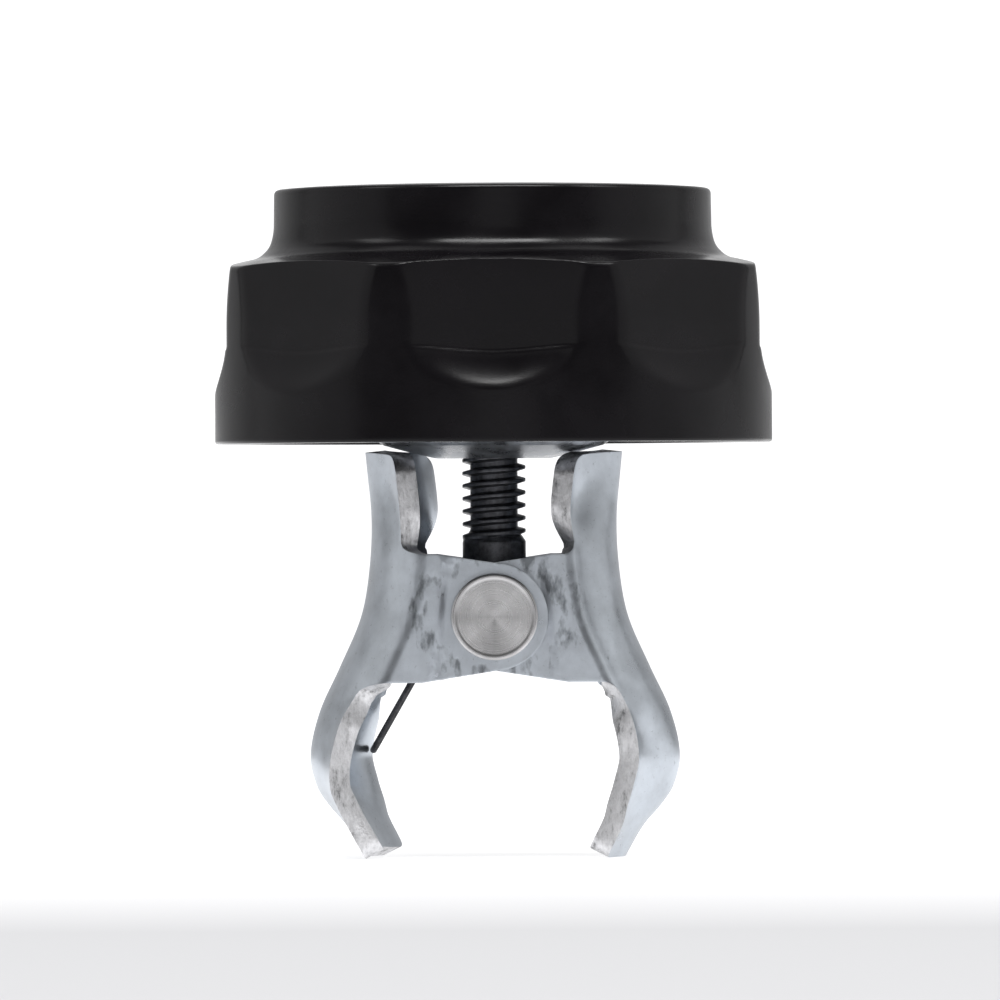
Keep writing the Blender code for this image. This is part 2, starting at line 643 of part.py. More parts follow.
def make_knob(boss_face):
    """The moulding; returns the height of the floor of the well over the nut."""
    well_floor = NUT_SEAT_Z + NUT_HEIGHT + 2 * RUNNING_GAP
    profile = knob_profile(boss_face, well_floor)
    knob = solid("knob_body", turned(profile, KNOB_STEPS), "black_moulding", (0, 0, KNOB_Z))

    def waste(cutter):
        cutter.parent = knob
        cut(knob, cutter)

    for index in range(LOBES):
        waste(facet_cutter(index))
    # Pockets between the ribs, open below, with a narrower part up inside the crown.
    wide = FACET_TOP - KNOB_WALL - 0.4 * MM
    narrow = CROWN_RADIUS - KNOB_WALL
    for index in range(RIBS):
        outline = pocket_outline(BOSS_RADIUS, wide, RIB, index)
        waste(solid(f"pocket_{index}", prism(outline, 0, SHOULDER_Z - KNOB_FLOOR), None))
        outline = pocket_outline(BOSS_RADIUS + 0.4 * MM, narrow, RIB + 0.6 * MM, index)
        waste(solid(f"crown_pocket_{index}", prism(outline, MM, CAP_SEAT_Z - KNOB_FLOOR), None))
    waste(solid("nut_pocket", prism(hexagon(NUT_FLATS + 2 * BORE_GAP), NUT_SEAT_Z, well_floor + MM), None))
    for index, place in peg_places():
        socket = disc_solid(CAP_PEG_RADIUS + BORE_GAP, CAP_SEAT_Z - KNOB_FLOOR - MM, CAP_SEAT_Z + MM)
        socket = solid(f"peg_socket_{index}", socket, None)
        socket.location = place
        waste(socket)
    return well_floor


def disc_solid(radius, low, high, steps=24):
    return turned([(0, low), (radius, low), (radius, high), (0, high)], steps)


def make_knob_fittings(well_floor):
    nut_low = NUT_SEAT_Z + RUNNING_GAP
    blank = prism(hexagon(NUT_FLATS), nut_low, nut_low + NUT_HEIGHT)
    nut = solid("knob_nut", blank, "zinc_plate", (0, 0, KNOB_Z))
    bore = solid("nut_bore", disc_solid(STUD_RADIUS + BORE_GAP, 0, CAP_SEAT_Z, 32), None)
    bore.parent = nut
    cut(nut, bore)
    solid("nut_retainer", disc(
        WELL_RADIUS - BORE_GAP, CLIP_RADIUS + MM, well_floor + RUNNING_GAP,
        well_floor + RUNNING_GAP + RING_THICKNESS, 40),
        "spring_steel", (0, 0, KNOB_Z))
    low = CAP_SEAT_Z + RUNNING_GAP
    edge = 0.4 * MM
    dome = [(CAP_RADIUS * math.sqrt(1 - s), CROWN_TOP_Z + CAP_DOME * s) for s in (0.0, 0.3, 0.6, 0.85)]
    wall = [(0, low), (CAP_RADIUS, low), (CAP_RADIUS, CROWN_TOP_Z - edge)]
    blank = turned([*wall, *dome, (0, CROWN_TOP_Z + CAP_DOME)], 64)
    cap = solid("knob_cap", blank, "black_moulding", (0, 0, KNOB_Z))
    for index, place in peg_places():
        peg = disc_solid(CAP_PEG_RADIUS, CAP_SEAT_Z - CAP_PEG_LENGTH, low + MM)
        peg = solid(f"cap_peg_{index}", peg, None)
        peg.location = place
        peg.parent = cap
        cut(cap, peg, "UNION")


def main():
    clear_scene()
    pivot = bpy.data.objects.new("rivet_axis", None)
    bpy.context.scene.collection.objects.link(pivot)
    pivot.location = (0, 0, PIVOT_HEIGHT)
    make_jaw("jaw_left", 0, pivot)
    make_jaw("jaw_right", 180, pivot)
    make_stud()
    make_rivet()
    make_spring()
    boss_face = make_washers()
    make_knob_fittings(make_knob(boss_face))


main()
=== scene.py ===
"""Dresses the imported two-jaw bar clamp: every visible piece becomes a fine surface with its real finish.

Row frame: +Z up along the stud, +X across the jaws, +Y along the rivet; metres.
"""

import math

import bmesh
import bpy
import numpy as np
from bpy.props import FloatProperty, FloatVectorProperty, IntProperty, PointerProperty
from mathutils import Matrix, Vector


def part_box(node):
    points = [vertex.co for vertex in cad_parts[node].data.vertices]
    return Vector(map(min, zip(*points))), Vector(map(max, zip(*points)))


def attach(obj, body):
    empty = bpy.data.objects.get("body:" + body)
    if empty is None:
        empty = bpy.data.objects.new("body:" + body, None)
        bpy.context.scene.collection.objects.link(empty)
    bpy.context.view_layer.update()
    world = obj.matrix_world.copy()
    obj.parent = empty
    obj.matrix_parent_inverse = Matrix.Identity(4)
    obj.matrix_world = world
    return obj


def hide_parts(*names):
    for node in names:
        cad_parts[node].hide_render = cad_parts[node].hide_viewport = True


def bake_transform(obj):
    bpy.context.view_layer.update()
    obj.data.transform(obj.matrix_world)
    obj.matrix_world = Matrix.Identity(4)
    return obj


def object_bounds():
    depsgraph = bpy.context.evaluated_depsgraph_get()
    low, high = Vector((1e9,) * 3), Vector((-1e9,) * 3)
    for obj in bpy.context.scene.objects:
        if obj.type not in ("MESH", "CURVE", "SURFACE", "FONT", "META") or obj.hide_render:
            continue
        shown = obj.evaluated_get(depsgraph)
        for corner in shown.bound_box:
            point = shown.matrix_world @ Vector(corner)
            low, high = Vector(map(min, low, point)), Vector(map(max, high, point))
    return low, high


bl_info = {
    "name": "Bar Clamp",
    "version": (1, 0, 0),
    "blender": (4, 5, 0),
    "location": "3D View > Sidebar > Bar Clamp",
    "description": "Builds a two-jaw bar clamp with a moulded hand knob",
    "category": "Add Mesh",
}

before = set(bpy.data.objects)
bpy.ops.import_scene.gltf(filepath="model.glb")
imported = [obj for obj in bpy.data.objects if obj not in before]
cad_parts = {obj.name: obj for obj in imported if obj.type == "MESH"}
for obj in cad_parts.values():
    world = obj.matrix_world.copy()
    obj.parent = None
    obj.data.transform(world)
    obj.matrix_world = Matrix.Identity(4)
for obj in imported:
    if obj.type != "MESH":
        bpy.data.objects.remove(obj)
cad_low, cad_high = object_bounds()

MM = 0.001


def linear(code):
    """An sRGB hex colour as linear red, green and blue."""
    srgb = np.array([int(code[i:i + 2], 16) for i in (1, 3, 5)]) / 255
    return tuple(np.where(srgb <= 0.04045, srgb / 12.92, ((srgb + 0.055) / 1.055) ** 2.4))


def size(node, axis):
    """A frame node's width along an axis."""
    low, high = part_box(node)
    return high[axis] - low[axis]


PIVOT_Z = sum(corner[2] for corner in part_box("pivot_rivet")) / 2
KNOB_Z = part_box("knob_body")[0][2]
STUD_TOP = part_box("eye_stud")[1][2]
FRONT_HEAD = -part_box("pivot_rivet")[0][1]
REAR_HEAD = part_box("pivot_rivet")[1][1]


# ---- Settings -----------------------------------------------------------
def length(name, description, default):
    """A setting in metres."""
    return FloatProperty(
        name=name, description=description, default=default, unit="LENGTH", precision=5, min=0.0)


def colour(name, description, code):
    """A colour setting, given as an sRGB hex."""
    return FloatVectorProperty(
        name=name, description=description, default=linear(code), subtype="COLOR", size=3, min=0, max=1)


class ClampKnobSettings(bpy.types.PropertyGroup):
    """Sizes and colour of the moulded hand knob."""

    radius: length("Radius", "Radius of the lands between the finger facets", size("knob_body", 0) / 2)
    facets: IntProperty(name="Facets", description="Finger facets round the knob", default=8, min=3)
    facet_reach: length("Facet reach", "Distance of a facet from the axis", 41.85 * MM)
    facet_foot: length("Facet foot", "Height of a facet's lower edge over the rim", 14.9 * MM)
    wall: length("Wall", "Wall thickness of the moulding", 3.0 * MM)
    black: colour("Black", "Moulded black plastic", "#0a080b")


class ClampJawSettings(bpy.types.PropertyGroup):
    """Sizes and colours of the two pressed jaws."""

    sheet: length("Sheet", "Thickness of the pressed sheet", 3.2 * MM)
    break_edge: length("Edge break", "Rounding along the sheared edges", 0.5 * MM)
    corner: length("Top corner", "Radius of the strip's top corners", 3.0 * MM)
    zinc: colour("Zinc", "Bright zinc plating", "#c3c9d0")
    sheared: colour("Sheared edge", "Plated fracture along the cut edges", "#d9d9db")


class ClampStudSettings(bpy.types.PropertyGroup):
    """Sizes and colours of the stud, rivet and spring."""

    stud_radius: length("Stud radius", "Outside radius of the thread", 5.0 * MM)
    pitch: length("Pitch", "Rise of the thread in one turn", 2.0 * MM)
    depth: length("Thread depth", "From crest to root", 1.25 * MM)
    wire: length("Wire radius", "Radius of the spring's wire", 0.55 * MM)
    oxide: colour("Black oxide", "Blackened steel of the stud", "#58595d")
    turned: colour("Turned steel", "Faced steel of the rivet", "#d6d5d6")
    spring: colour("Spring wire", "Drawn and blackened wire", "#4a4a4c")


class ClampStageSettings(bpy.types.PropertyGroup):
    """Camera distance and the pale surroundings."""

    distance: length("Camera distance", "From the camera to the stud's axis", 1.75)
    field: length("Field", "Width of the view at the stud's axis", 158.0 * MM)
    floor: colour("Floor", "Pale floor and backdrop", "#a8a8aa")


# ---- Surfaces -----------------------------------------------------------
def skin(points, closed=True):
    """Vertices and quads of a grid of points (rows, columns, 3); closed joins last column to first."""
    rows, columns = points.shape[:2]
    index = np.arange(rows * columns).reshape(rows, columns)
    if closed:
        index = np.hstack([index, index[:, :1]])
    quads = np.stack([index[:-1, :-1], index[:-1, 1:], index[1:, 1:], index[1:, :-1]], axis=-1)
    return points.reshape(-1, 3), quads.reshape(-1, 4)


def rounded(corners, radii, steps=5):
    """A closed outline, each corner replaced by a parabola that starts and ends one radius from it."""
    corners = np.array(corners, float)
    radii = np.broadcast_to(np.array(radii, float).reshape(-1, 1), (len(corners), 1))
    back = np.roll(corners, 1, 0) - corners
    on = np.roll(corners, -1, 0) - corners
    start = (corners + back / np.linalg.norm(back, axis=1, keepdims=True) * radii)[:, None]
    end = (corners + on / np.linalg.norm(on, axis=1, keepdims=True) * radii)[:, None]
    t = np.linspace(0, 1, steps)[None, :, None]
    return ((1 - t) ** 2 * start + 2 * t * (1 - t) * corners[:, None] + t**2 * end).reshape(-1, 2)


def finer(outline, spacing):
    """A closed outline with points added so that none are further apart than the spacing."""
    loop = np.vstack([outline, outline[:1]])
    along = np.concatenate([[0], np.cumsum(np.linalg.norm(np.diff(loop, axis=0), axis=1))])
    wanted = np.unique(np.concatenate([along, np.arange(0, along[-1], spacing)]).round(8))[:-1]
    return np.stack([np.interp(wanted, along, loop[:, k]) for k in (0, 1)], axis=1)


def around(r, angle, z):
    """Points about Z: x = r cos a, y = r sin a."""
    return np.stack(np.broadcast_arrays(r * np.cos(angle), r * np.sin(angle), z), axis=-1)


def turned(outline, columns=128):
    """A closed outline of (radius, height) turned about Z."""
    loop = np.vstack([outline, outline[:1]])
    angle = np.linspace(0, 2 * math.pi, columns, endpoint=False)
    return skin(around(loop[:, :1], angle, loop[:, 1:]))


def moved(part, x=0.0, y=0.0, z=0.0):
    """A part carried along the axes."""
    return part[0] + np.array([x, y, z]), part[1]


def along_rivet(part):
    """Lays a part turned about Z along the rivet, its +Z end to the front, at the rivet's height."""
    x, y, z = part[0].T
    return np.stack([x, -z, y + PIVOT_Z], axis=-1), part[1]


def piece(name, parts, materials, body, *nodes, sharp=32.0):
    """One object from several parts, welded, facing out; it rides a body and stands for frame nodes."""
    offsets = np.cumsum([0] + [len(vertices) for vertices, _ in parts[:-1]])
    vertices = np.vstack([vertices for vertices, _ in parts])
    faces = np.vstack([faces + offset for (_, faces), offset in zip(parts, offsets)])
    mesh = bpy.data.meshes.new(name)
    mesh.from_pydata(vertices.tolist(), [], faces.tolist())
    bm = bmesh.new()
    bm.from_mesh(mesh)
    bmesh.ops.remove_doubles(bm, verts=bm.verts, dist=2e-6)
    bmesh.ops.dissolve_degenerate(bm, dist=1e-7, edges=bm.edges)
    bmesh.ops.recalc_face_normals(bm, faces=bm.faces)
    bm.to_mesh(mesh)
    bm.free()
    mesh.shade_smooth()
    mesh.set_sharp_from_angle(angle=math.radians(sharp))
    for finish in materials:
        mesh.materials.append(finish)
    obj = bpy.data.objects.new(name, mesh)
    bpy.context.scene.collection.objects.link(obj)
    if body:
        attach(obj, body)
    if nodes:
        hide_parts(*nodes)
    return obj


def soft_min(a, b, width):
    """The lesser of two arrays, with a parabolic blend of that width where they cross."""
    share = np.clip(0.5 + 0.5 * (b - a) / width, 0, 1)
    return b * (1 - share) + a * share - width * share * (1 - share)


def smooth(t):
    """Eases from 0 to 1 as t does: 3 t squared - 2 t cubed, held at both ends."""
    t = np.clip(t, 0, 1)
    return t * t * (3 - 2 * t)


# ---- Materials ----------------------------------------------------------
def add(tree, kind, inputs=None, **settings):
    """Adds a node; inputs maps sockets to values or to the outputs that feed them."""
    made = tree.nodes.new(kind)
    for key, value in settings.items():
        setattr(made, key, value)
    for key, value in (inputs or {}).items():
        if isinstance(value, bpy.types.NodeSocket):
            tree.links.new(value, made.inputs[key])
        else:
            made.inputs[key].default_value = value
    return made


def finish(name, **sockets):
    """A new material, its tree, its Principled shader with these sockets set, and object coordinates."""
    made = bpy.data.materials.new(name)
    made.use_nodes = True
    tree = made.node_tree
    shader = tree.nodes["Principled BSDF"]
    for key, value in sockets.items():
        shader.inputs[key.replace("_", " ")].default_value = value
    place = add(tree, "ShaderNodeTexCoord").outputs["Object"]
    return made, tree, shader, place


def feed(tree, shader, **outputs):
    """Links outputs to the shader's sockets of those names."""
    for key, output in outputs.items():
        tree.links.new(output, shader.inputs[key.replace("_", " ")])


def noise(tree, place, feature, detail, roughness=0.5):
    """Noise whose features are that many millimetres across, on coordinates in metres."""
    made = add(tree, "ShaderNodeTexNoise", {
        "Vector": place, "Scale": 1 / (feature * MM), "Detail": detail, "Roughness": roughness})
    return made.outputs["Fac"]


def mapping(tree, place, **inputs):
    """Coordinates scaled, then moved."""
    return add(tree, "ShaderNodeMapping", {"Vector": place, **inputs}).outputs["Vector"]


def distance(tree, place):
    """How far coordinates lie from their origin."""
    return add(tree, "ShaderNodeVectorMath", {0: place}, operation="LENGTH").outputs["Value"]


def spread(tree, factor, ends, reach=(0.3, 0.7)):
    """Carries a factor's reach to the two ends in a straight line."""
    made = add(tree, "ShaderNodeMapRange", {
        "Value": factor, "From Min": reach[0], "From Max": reach[1], "To Min": ends[0], "To Max": ends[1]})
    return made.outputs["Result"]


def bump(tree, height, strength, depth, under=None):
    """The normal of a bump that many millimetres deep, laid over another normal."""
    inputs = {"Height": height, "Strength": strength, "Distance": depth * MM}
    if under is not None:
        inputs["Normal"] = under
    return add(tree, "ShaderNodeBump", inputs).outputs["Normal"]


def shades(tree, factor, *stops):
    """A colour ramp of (position, linear colour) stops."""
    ramp = add(tree, "ShaderNodeValToRGB", {"Fac": factor})
    line = ramp.color_ramp
    while len(line.elements) < len(stops):
        line.elements.new(0.5)
    for slot, (position, shade) in zip(line.elements, stops):
        slot.position = position
        slot.color = (*shade, 1)
    return ramp.outputs["Color"]


def multiply(tree, first, second):
    """The product of two colours."""
    mix = tree.nodes.new("ShaderNodeMix")
    mix.data_type, mix.blend_type = "RGBA", "MULTIPLY"
    mix.inputs[0].default_value = 1.0
    tree.links.new(first, mix.inputs[6])
    tree.links.new(second, mix.inputs[7])
    return mix.outputs[2]


def scaled(shade, factor):
    """A colour made darker or lighter."""
    return tuple(min(1.0, channel * factor) for channel in shade)


def grey(value):
    """A neutral colour."""
    return (value, value, value)


def moulded_black(name, black):
    """Glass-filled nylon from a spark-eroded tool: near black, satin, finely grained, faintly wavy."""
    made, tree, shader, place = finish(name, IOR=1.5, Specular_IOR_Level=0.22)
    cloud = noise(tree, place, 9, 4.0)
    grain = noise(tree, place, 0.28, 2.0)
    feed(tree, shader,
         Base_Color=shades(tree, cloud, (0.35, scaled(black, 0.85)), (0.65, scaled(black, 1.2))),
         Roughness=spread(tree, cloud, (0.19, 0.30)),
         Normal=bump(tree, grain, 0.35, 0.02, bump(tree, cloud, 0.25, 0.05)))
    return made


def zinc_plated(name, zinc):
    """Blue-passivated zinc on pressed steel: satin, cloudy, wrinkled where the die drew the metal, with painted
    dark reflections in those wrinkles.
    """
    made, tree, shader, place = finish(name, Metallic=1.0)
    cloud = noise(tree, place, 5, 5.0, 0.6)
    pits = noise(tree, place, 0.8, 6.0, 0.75)
    wrinkle = noise(tree, mapping(tree, place, Scale=(1, 1, 0.45)), 1.5, 4.0)
    # The drawn metal lies in an elliptical band round the rivet, at most this wide and high to each side.
    wide, high = 19 * MM, 15 * MM
    around = mapping(tree, place, Location=(0, 0, -PIVOT_Z / high), Scale=(1 / wide, 0, 1 / high))
    drawn = shades(tree, distance(tree, around),
                   (0.42, grey(0.1)), (0.55, grey(0.8)), (0.68, grey(0.8)), (0.85, grey(0.1)))
    # Painted reflection: the wrinkles of that band are coloured dark, standing in for the dark surroundings the
    # bent metal reflects, and nowhere else.
    hollow = add(tree, "ShaderNodeMath", {0: drawn, 1: -0.4, 2: wrinkle}, operation="MULTIPLY_ADD")
    painted_dark_reflections = shades(tree, hollow.outputs["Value"], (0.04, grey(0.42)), (0.19, grey(1.0)))
    clouded = shades(tree, cloud, (0.35, scaled(zinc, 0.88)), (0.65, scaled(zinc, 1.08)))
    spots = shades(tree, pits, (0.30, grey(0.62)), (0.40, grey(1.0)))
    feed(tree, shader,
         Base_Color=multiply(tree, multiply(tree, clouded, spots), painted_dark_reflections),
         Roughness=spread(tree, cloud, (0.26, 0.38)),
         Normal=bump(tree, wrinkle, drawn, 0.16, bump(tree, cloud, 0.3, 0.08)))
    return made


def sheared_edge(name, shade):
    """Plated shear fracture: satin to matt, scored along the cut, with dark torn specks."""
    made, tree, shader, place = finish(name, Metallic=1.0)
    # The cut runs mostly upright, so the pattern is drawn out along Z.
    torn = noise(tree, mapping(tree, place, Scale=(1, 1, 0.4)), 1.3, 6.0, 0.7)
    grit = noise(tree, place, 0.5, 3.0, 0.7)
    feed(tree, shader,
         Base_Color=shades(
             tree, torn, (0.33, scaled(shade, 0.32)), (0.44, scaled(shade, 0.82)), (0.6, scaled(shade, 1.1))),
         Roughness=spread(tree, torn, (0.55, 0.3), (0.35, 0.65)),
         Normal=bump(tree, grit, 0.4, 0.05, bump(tree, torn, 0.8, 0.2)))
    return made


def faced_steel(name, shade):
    """Steel faced on a lathe: fine rings about the rivet that fan the light into soft sectors, with painted
    sheen sectors in its colour as well.
    """
    made, tree, shader, place = finish(name, Metallic=1.0, Anisotropic=0.75)
    round_rivet = add(tree, "ShaderNodeTangent", direction_type="RADIAL", axis="Y")
    apart = add(tree, "ShaderNodeSeparateXYZ", {"Vector": mapping(tree, place, Location=(0, 0, -PIVOT_Z))})
    flat = add(tree, "ShaderNodeCombineXYZ", {"X": apart.outputs["X"], "Y": apart.outputs["Z"]})
    flat = flat.outputs["Vector"]
    # Rings 0.16 mm apart, coarser than the tool's real feed so that they show.
    rings = add(tree, "ShaderNodeTexNoise", {"W": distance(tree, flat), "Scale": 1 / (0.16 * MM), "Detail": 2.0},
                noise_dimensions="1D").outputs["Fac"]
    cloud = noise(tree, place, 2.2, 4.0)
    tones = shades(tree, cloud, (0.35, scaled(shade, 0.88)), (0.65, scaled(shade, 1.05)))
    # Painted sheen: lighter and darker sectors round the face stand in for the bright and dull sectors that the
    # rings reflect.
    angle = add(tree, "ShaderNodeTexGradient", {"Vector": flat}, gradient_type="RADIAL").outputs["Fac"]
    tone = {0.0: 0.72, 0.12: 0.98, 0.25: 0.7, 0.37: 1.0, 0.5: 0.72, 0.62: 0.95, 0.75: 1.0, 0.9: 0.92, 1.0: 0.72}
    painted_sheen_sectors = shades(tree, angle, *((turn, grey(value)) for turn, value in tone.items()))
    feed(tree, shader,
         Tangent=round_rivet.outputs["Tangent"],
         Base_Color=multiply(tree, tones, painted_sheen_sectors),
         Roughness=spread(tree, rings, (0.24, 0.38)),
         Normal=bump(tree, rings, 0.35, 0.03))
    return made


def blackened_steel(name, shade, roughness=(0.28, 0.42), feature=1.2):
    """Black oxide on cut or drawn steel: dark grey metal with oily, uneven sheen."""
    made, tree, shader, place = finish(name, Metallic=0.85)
    cloud = noise(tree, place, feature, 5.0, 0.65)
    grit = noise(tree, place, 0.25, 2.0)
    feed(tree, shader,
         Base_Color=shades(tree, cloud, (0.35, scaled(shade, 0.6)), (0.65, scaled(shade, 1.35))),
         Roughness=spread(tree, cloud, roughness),
         Normal=bump(tree, grit, 0.4, 0.03))
    return made


def natural_nylon(name):
    """Unfilled nylon: milky, waxy, slightly translucent."""
    made, tree, shader, place = finish(name, IOR=1.53, Roughness=0.42, Subsurface_Weight=0.2,
                                       Subsurface_Radius=(0.6 * MM, 0.5 * MM, 0.4 * MM))
    cloud = noise(tree, place, 3, 3.0)
    feed(tree, shader, Base_Color=shades(tree, cloud, (0.3, linear("#d6d2c4")), (0.7, linear("#e4e1d6"))))
    return made


def once(name, maker, *values):
    """The material of that name, made at its first use."""
    return bpy.data.materials.get(name) or maker(name, *values)


def zinc_finish(scene):
    """The zinc plating that the jaws, sleeves and washers share."""
    return once("zinc_plated_steel", zinc_plated, tuple(scene.clamp_jaws.zinc))


def wire_finish(scene):
    """The finish of the spring and of the wire rings."""
    return once("blackened_spring_wire", blackened_steel, tuple(scene.clamp_stud.spring), (0.28, 0.42), 0.8)


# ---- Knob ---------------------------------------------------------------
class CLAMP_OT_knob(bpy.types.Operator):
    """Moulded knob: faceted shell, twenty ribs and the boss that holds the nut"""

    bl_idname = "clamp.knob"
    bl_label = "Knob"

    SHOULDER = 27.8 * MM
    CROWN_RADIUS = 34.5 * MM
    CROWN_TOP = 40.1 * MM
    CAP_SEAT = 37.9 * MM
    CAP_RECESS = 32.9 * MM
    RIM_RECESS = 3.2 * MM
    BOSS_RADIUS = 14.5 * MM
    NOSE_RADIUS = 9.0 * MM
    NOSE_Z = 1.0 * MM
    WELL_RADIUS = 12.0 * MM
    WELL_FLOOR = 22.6 * MM
    NUT_SEAT = 12.0 * MM
    BOSS_ROOF = 35.4 * MM
    BORE = 5.25 * MM
    NUT_POCKET = 10.1 * MM
    RIM_INSIDE = 38.3 * MM
    POCKET_RADIUS = 37.9 * MM
    RIBS = 20
    RIB = 2.2 * MM
    LOW_RIB_REACH, HIGH_RIB_REACH = 38.1 * MM, 31.7 * MM
    RIB_OVERLAP = 0.3 * MM
    FACET_EDGE = math.radians(19.2)
    FOOT_DIP = 0.9 * MM
    LEDGE = 0.22 * MM

    def outline(self, settings):
        """Closed outline of the shell: rim, land, shoulder, cove, crown, cap seat, pocket walls."""
        radius = settings.radius
        pocket_roof = self.SHOULDER - settings.wall
        crown_inside = self.CROWN_RADIUS - settings.wall
        crown_roof = self.CAP_SEAT - settings.wall
        corners = [
            (self.RIM_INSIDE, 0), (radius, 0), (radius, 8.0 * MM),
            (radius - 0.15 * MM, self.SHOULDER - 0.1 * MM),
            (39.6 * MM, 28.75 * MM), (37.0 * MM, 29.3 * MM), (35.2 * MM, 31.0 * MM),
            (self.CROWN_RADIUS + 0.1 * MM, 33.4 * MM), (self.CROWN_RADIUS, self.CROWN_TOP),
            (self.CAP_RECESS, self.CROWN_TOP), (self.CAP_RECESS, self.CAP_SEAT),
            (self.WELL_RADIUS, self.CAP_SEAT), (self.WELL_RADIUS, crown_roof), (crown_inside, crown_roof),
            (crown_inside, pocket_roof), (self.POCKET_RADIUS, pocket_roof),
            (self.POCKET_RADIUS, self.RIM_RECESS), (self.RIM_INSIDE, self.RIM_RECESS),
        ]
        radii = [0.4, 0.5, 1.5, 0.9, 1.1, 1.0, 1.1, 1.1, 0.9, 0.25, 0.2, 0.2, 0.2, 0.8, 0.8, 0.8, 0.15, 0.15]
        return rounded(corners, np.array(radii) * MM, 7)

    def facet_reach(self, settings, z, across):
        """Distance of the facet at a height and angle: nearly upright, a small ledge, then a hollow.

        The hollow's reach grows as 0.1 fall + 42 fall squared (metres) below a foot that dips in the middle.
        """
        upright = settings.facet_reach - 7.0 * np.clip(z - 18 * MM, 0, None) ** 2
        dip = self.FOOT_DIP * np.cos(across * math.pi / (2 * self.FACET_EDGE)) ** 2
        fall = settings.facet_foot - dip - z
        ledge = self.LEDGE * smooth((fall + 0.3 * MM) / (0.6 * MM))
        lean = settings.facet_reach + ledge + 0.1 * fall + 42.0 * fall * np.abs(fall)
        return -soft_min(-upright, -lean, 0.12 * MM)

    def columns(self, settings):
        """Angles round the knob, closer together where facets meet lands."""
        pitch = 2 * math.pi / settings.facets
        edge = self.FACET_EDGE
        half = np.concatenate([
            np.linspace(0, edge - 0.055, 12, endpoint=False),
            np.linspace(edge - 0.055, edge + 0.03, 17, endpoint=False),
            np.linspace(edge + 0.03, pitch / 2, 4, endpoint=False),
        ])
        one = np.concatenate([-np.append(half, pitch / 2)[:0:-1], half])
        return one, (np.arange(settings.facets)[:, None] * pitch - math.pi / 2)

    def shell(self, settings):
        """The outline turned about Z; radius = soft minimum of the outline's and reach / cos(angle)."""
        outline = self.outline(settings)
        outline = self.merged(finer(outline, 1.1 * MM), finer(outline, 0.28 * MM))
        outline = np.vstack([outline, outline[:1]])
        local, centres = self.columns(settings)
        angle = (centres + local[None]).reshape(-1)
        across = np.tile(local, settings.facets)
        r, z = outline[:, :1], outline[:, 1:]
        reach = self.facet_reach(settings, z, across[None]) / np.cos(across)[None]
        radius = np.where(r > 38.5 * MM, soft_min(np.broadcast_to(r, reach.shape), reach, 0.45 * MM), r)
        return skin(around(radius, angle, z))

    def merged(self, coarse, fine):
        """The coarse outline, with the fine one's points on the outside above the rim."""
        old, new = (np.flatnonzero((line[:, 0] > 40.5 * MM) & (line[:, 1] > 6.5 * MM))
                    for line in (coarse, fine))
        return np.vstack([coarse[: old[0]], fine[new[0]: new[-1] + 1], coarse[old[-1] + 1:]])

    def ribs(self, settings):
        """Each rib: a rounded upright section swept outwards from the boss, closed, repeated about Z."""
        high = self.CAP_SEAT - settings.wall + self.RIB_OVERLAP
        low = self.SHOULDER - settings.wall + self.RIB_OVERLAP
        inner, half = self.BOSS_RADIUS - self.RIB_OVERLAP, self.RIB / 2
        made = []
        for outer, roof in ((self.LOW_RIB_REACH, low), (self.HIGH_RIB_REACH, high)):
            foot = self.RIM_RECESS
            section = rounded([(-half, foot), (half, foot), (half, roof), (-half, roof)],
                              [0.35 * MM, 0.35 * MM, 0.05 * MM, 0.05 * MM], 4)
            reach = np.array([inner, inner, outer, outer])
            shrink = np.array([0.0, 1.0, 1.0, 0.0])
            middle = section.mean(axis=0)
            flat = middle + (section - middle)[None] * shrink[:, None, None]
            x = np.broadcast_to(reach[:, None], flat.shape[:2])
            turn = 2 * math.pi * np.arange(self.RIBS)[:, None, None] / self.RIBS
            grid = np.stack([
                x * np.cos(turn) - flat[..., 0] * np.sin(turn),
                x * np.sin(turn) + flat[..., 0] * np.cos(turn),
                np.broadcast_to(flat[..., 1], (self.RIBS, *flat.shape[:2])),
            ], axis=-1)
            made += [skin(one) for one in grid]
        return made

    def boss(self):
        """The boss: a closed outline with the bore, nut pocket and well, turned about Z."""
        outline = rounded([
            (self.BORE, self.NOSE_Z), (self.NOSE_RADIUS, self.NOSE_Z), (self.NOSE_RADIUS, self.RIM_RECESS),
            (self.BOSS_RADIUS, self.RIM_RECESS), (self.BOSS_RADIUS, self.BOSS_ROOF),
            (self.WELL_RADIUS, self.BOSS_ROOF), (self.WELL_RADIUS, self.WELL_FLOOR),
            (self.NUT_POCKET, self.WELL_FLOOR), (self.NUT_POCKET, self.NUT_SEAT), (self.BORE, self.NUT_SEAT),
        ], 0.3 * MM, 3)
        return turned(outline, 96)

    def execute(self, context):
        settings = context.scene.clamp_knob
        black = once("moulded_black_nylon", moulded_black, tuple(settings.black))
        parts = [self.shell(settings), self.boss(), *self.ribs(settings)]
        piece("knob_moulding", [moved(part, z=KNOB_Z) for part in parts], [black], "knob", "knob_body")
        return {"FINISHED"}


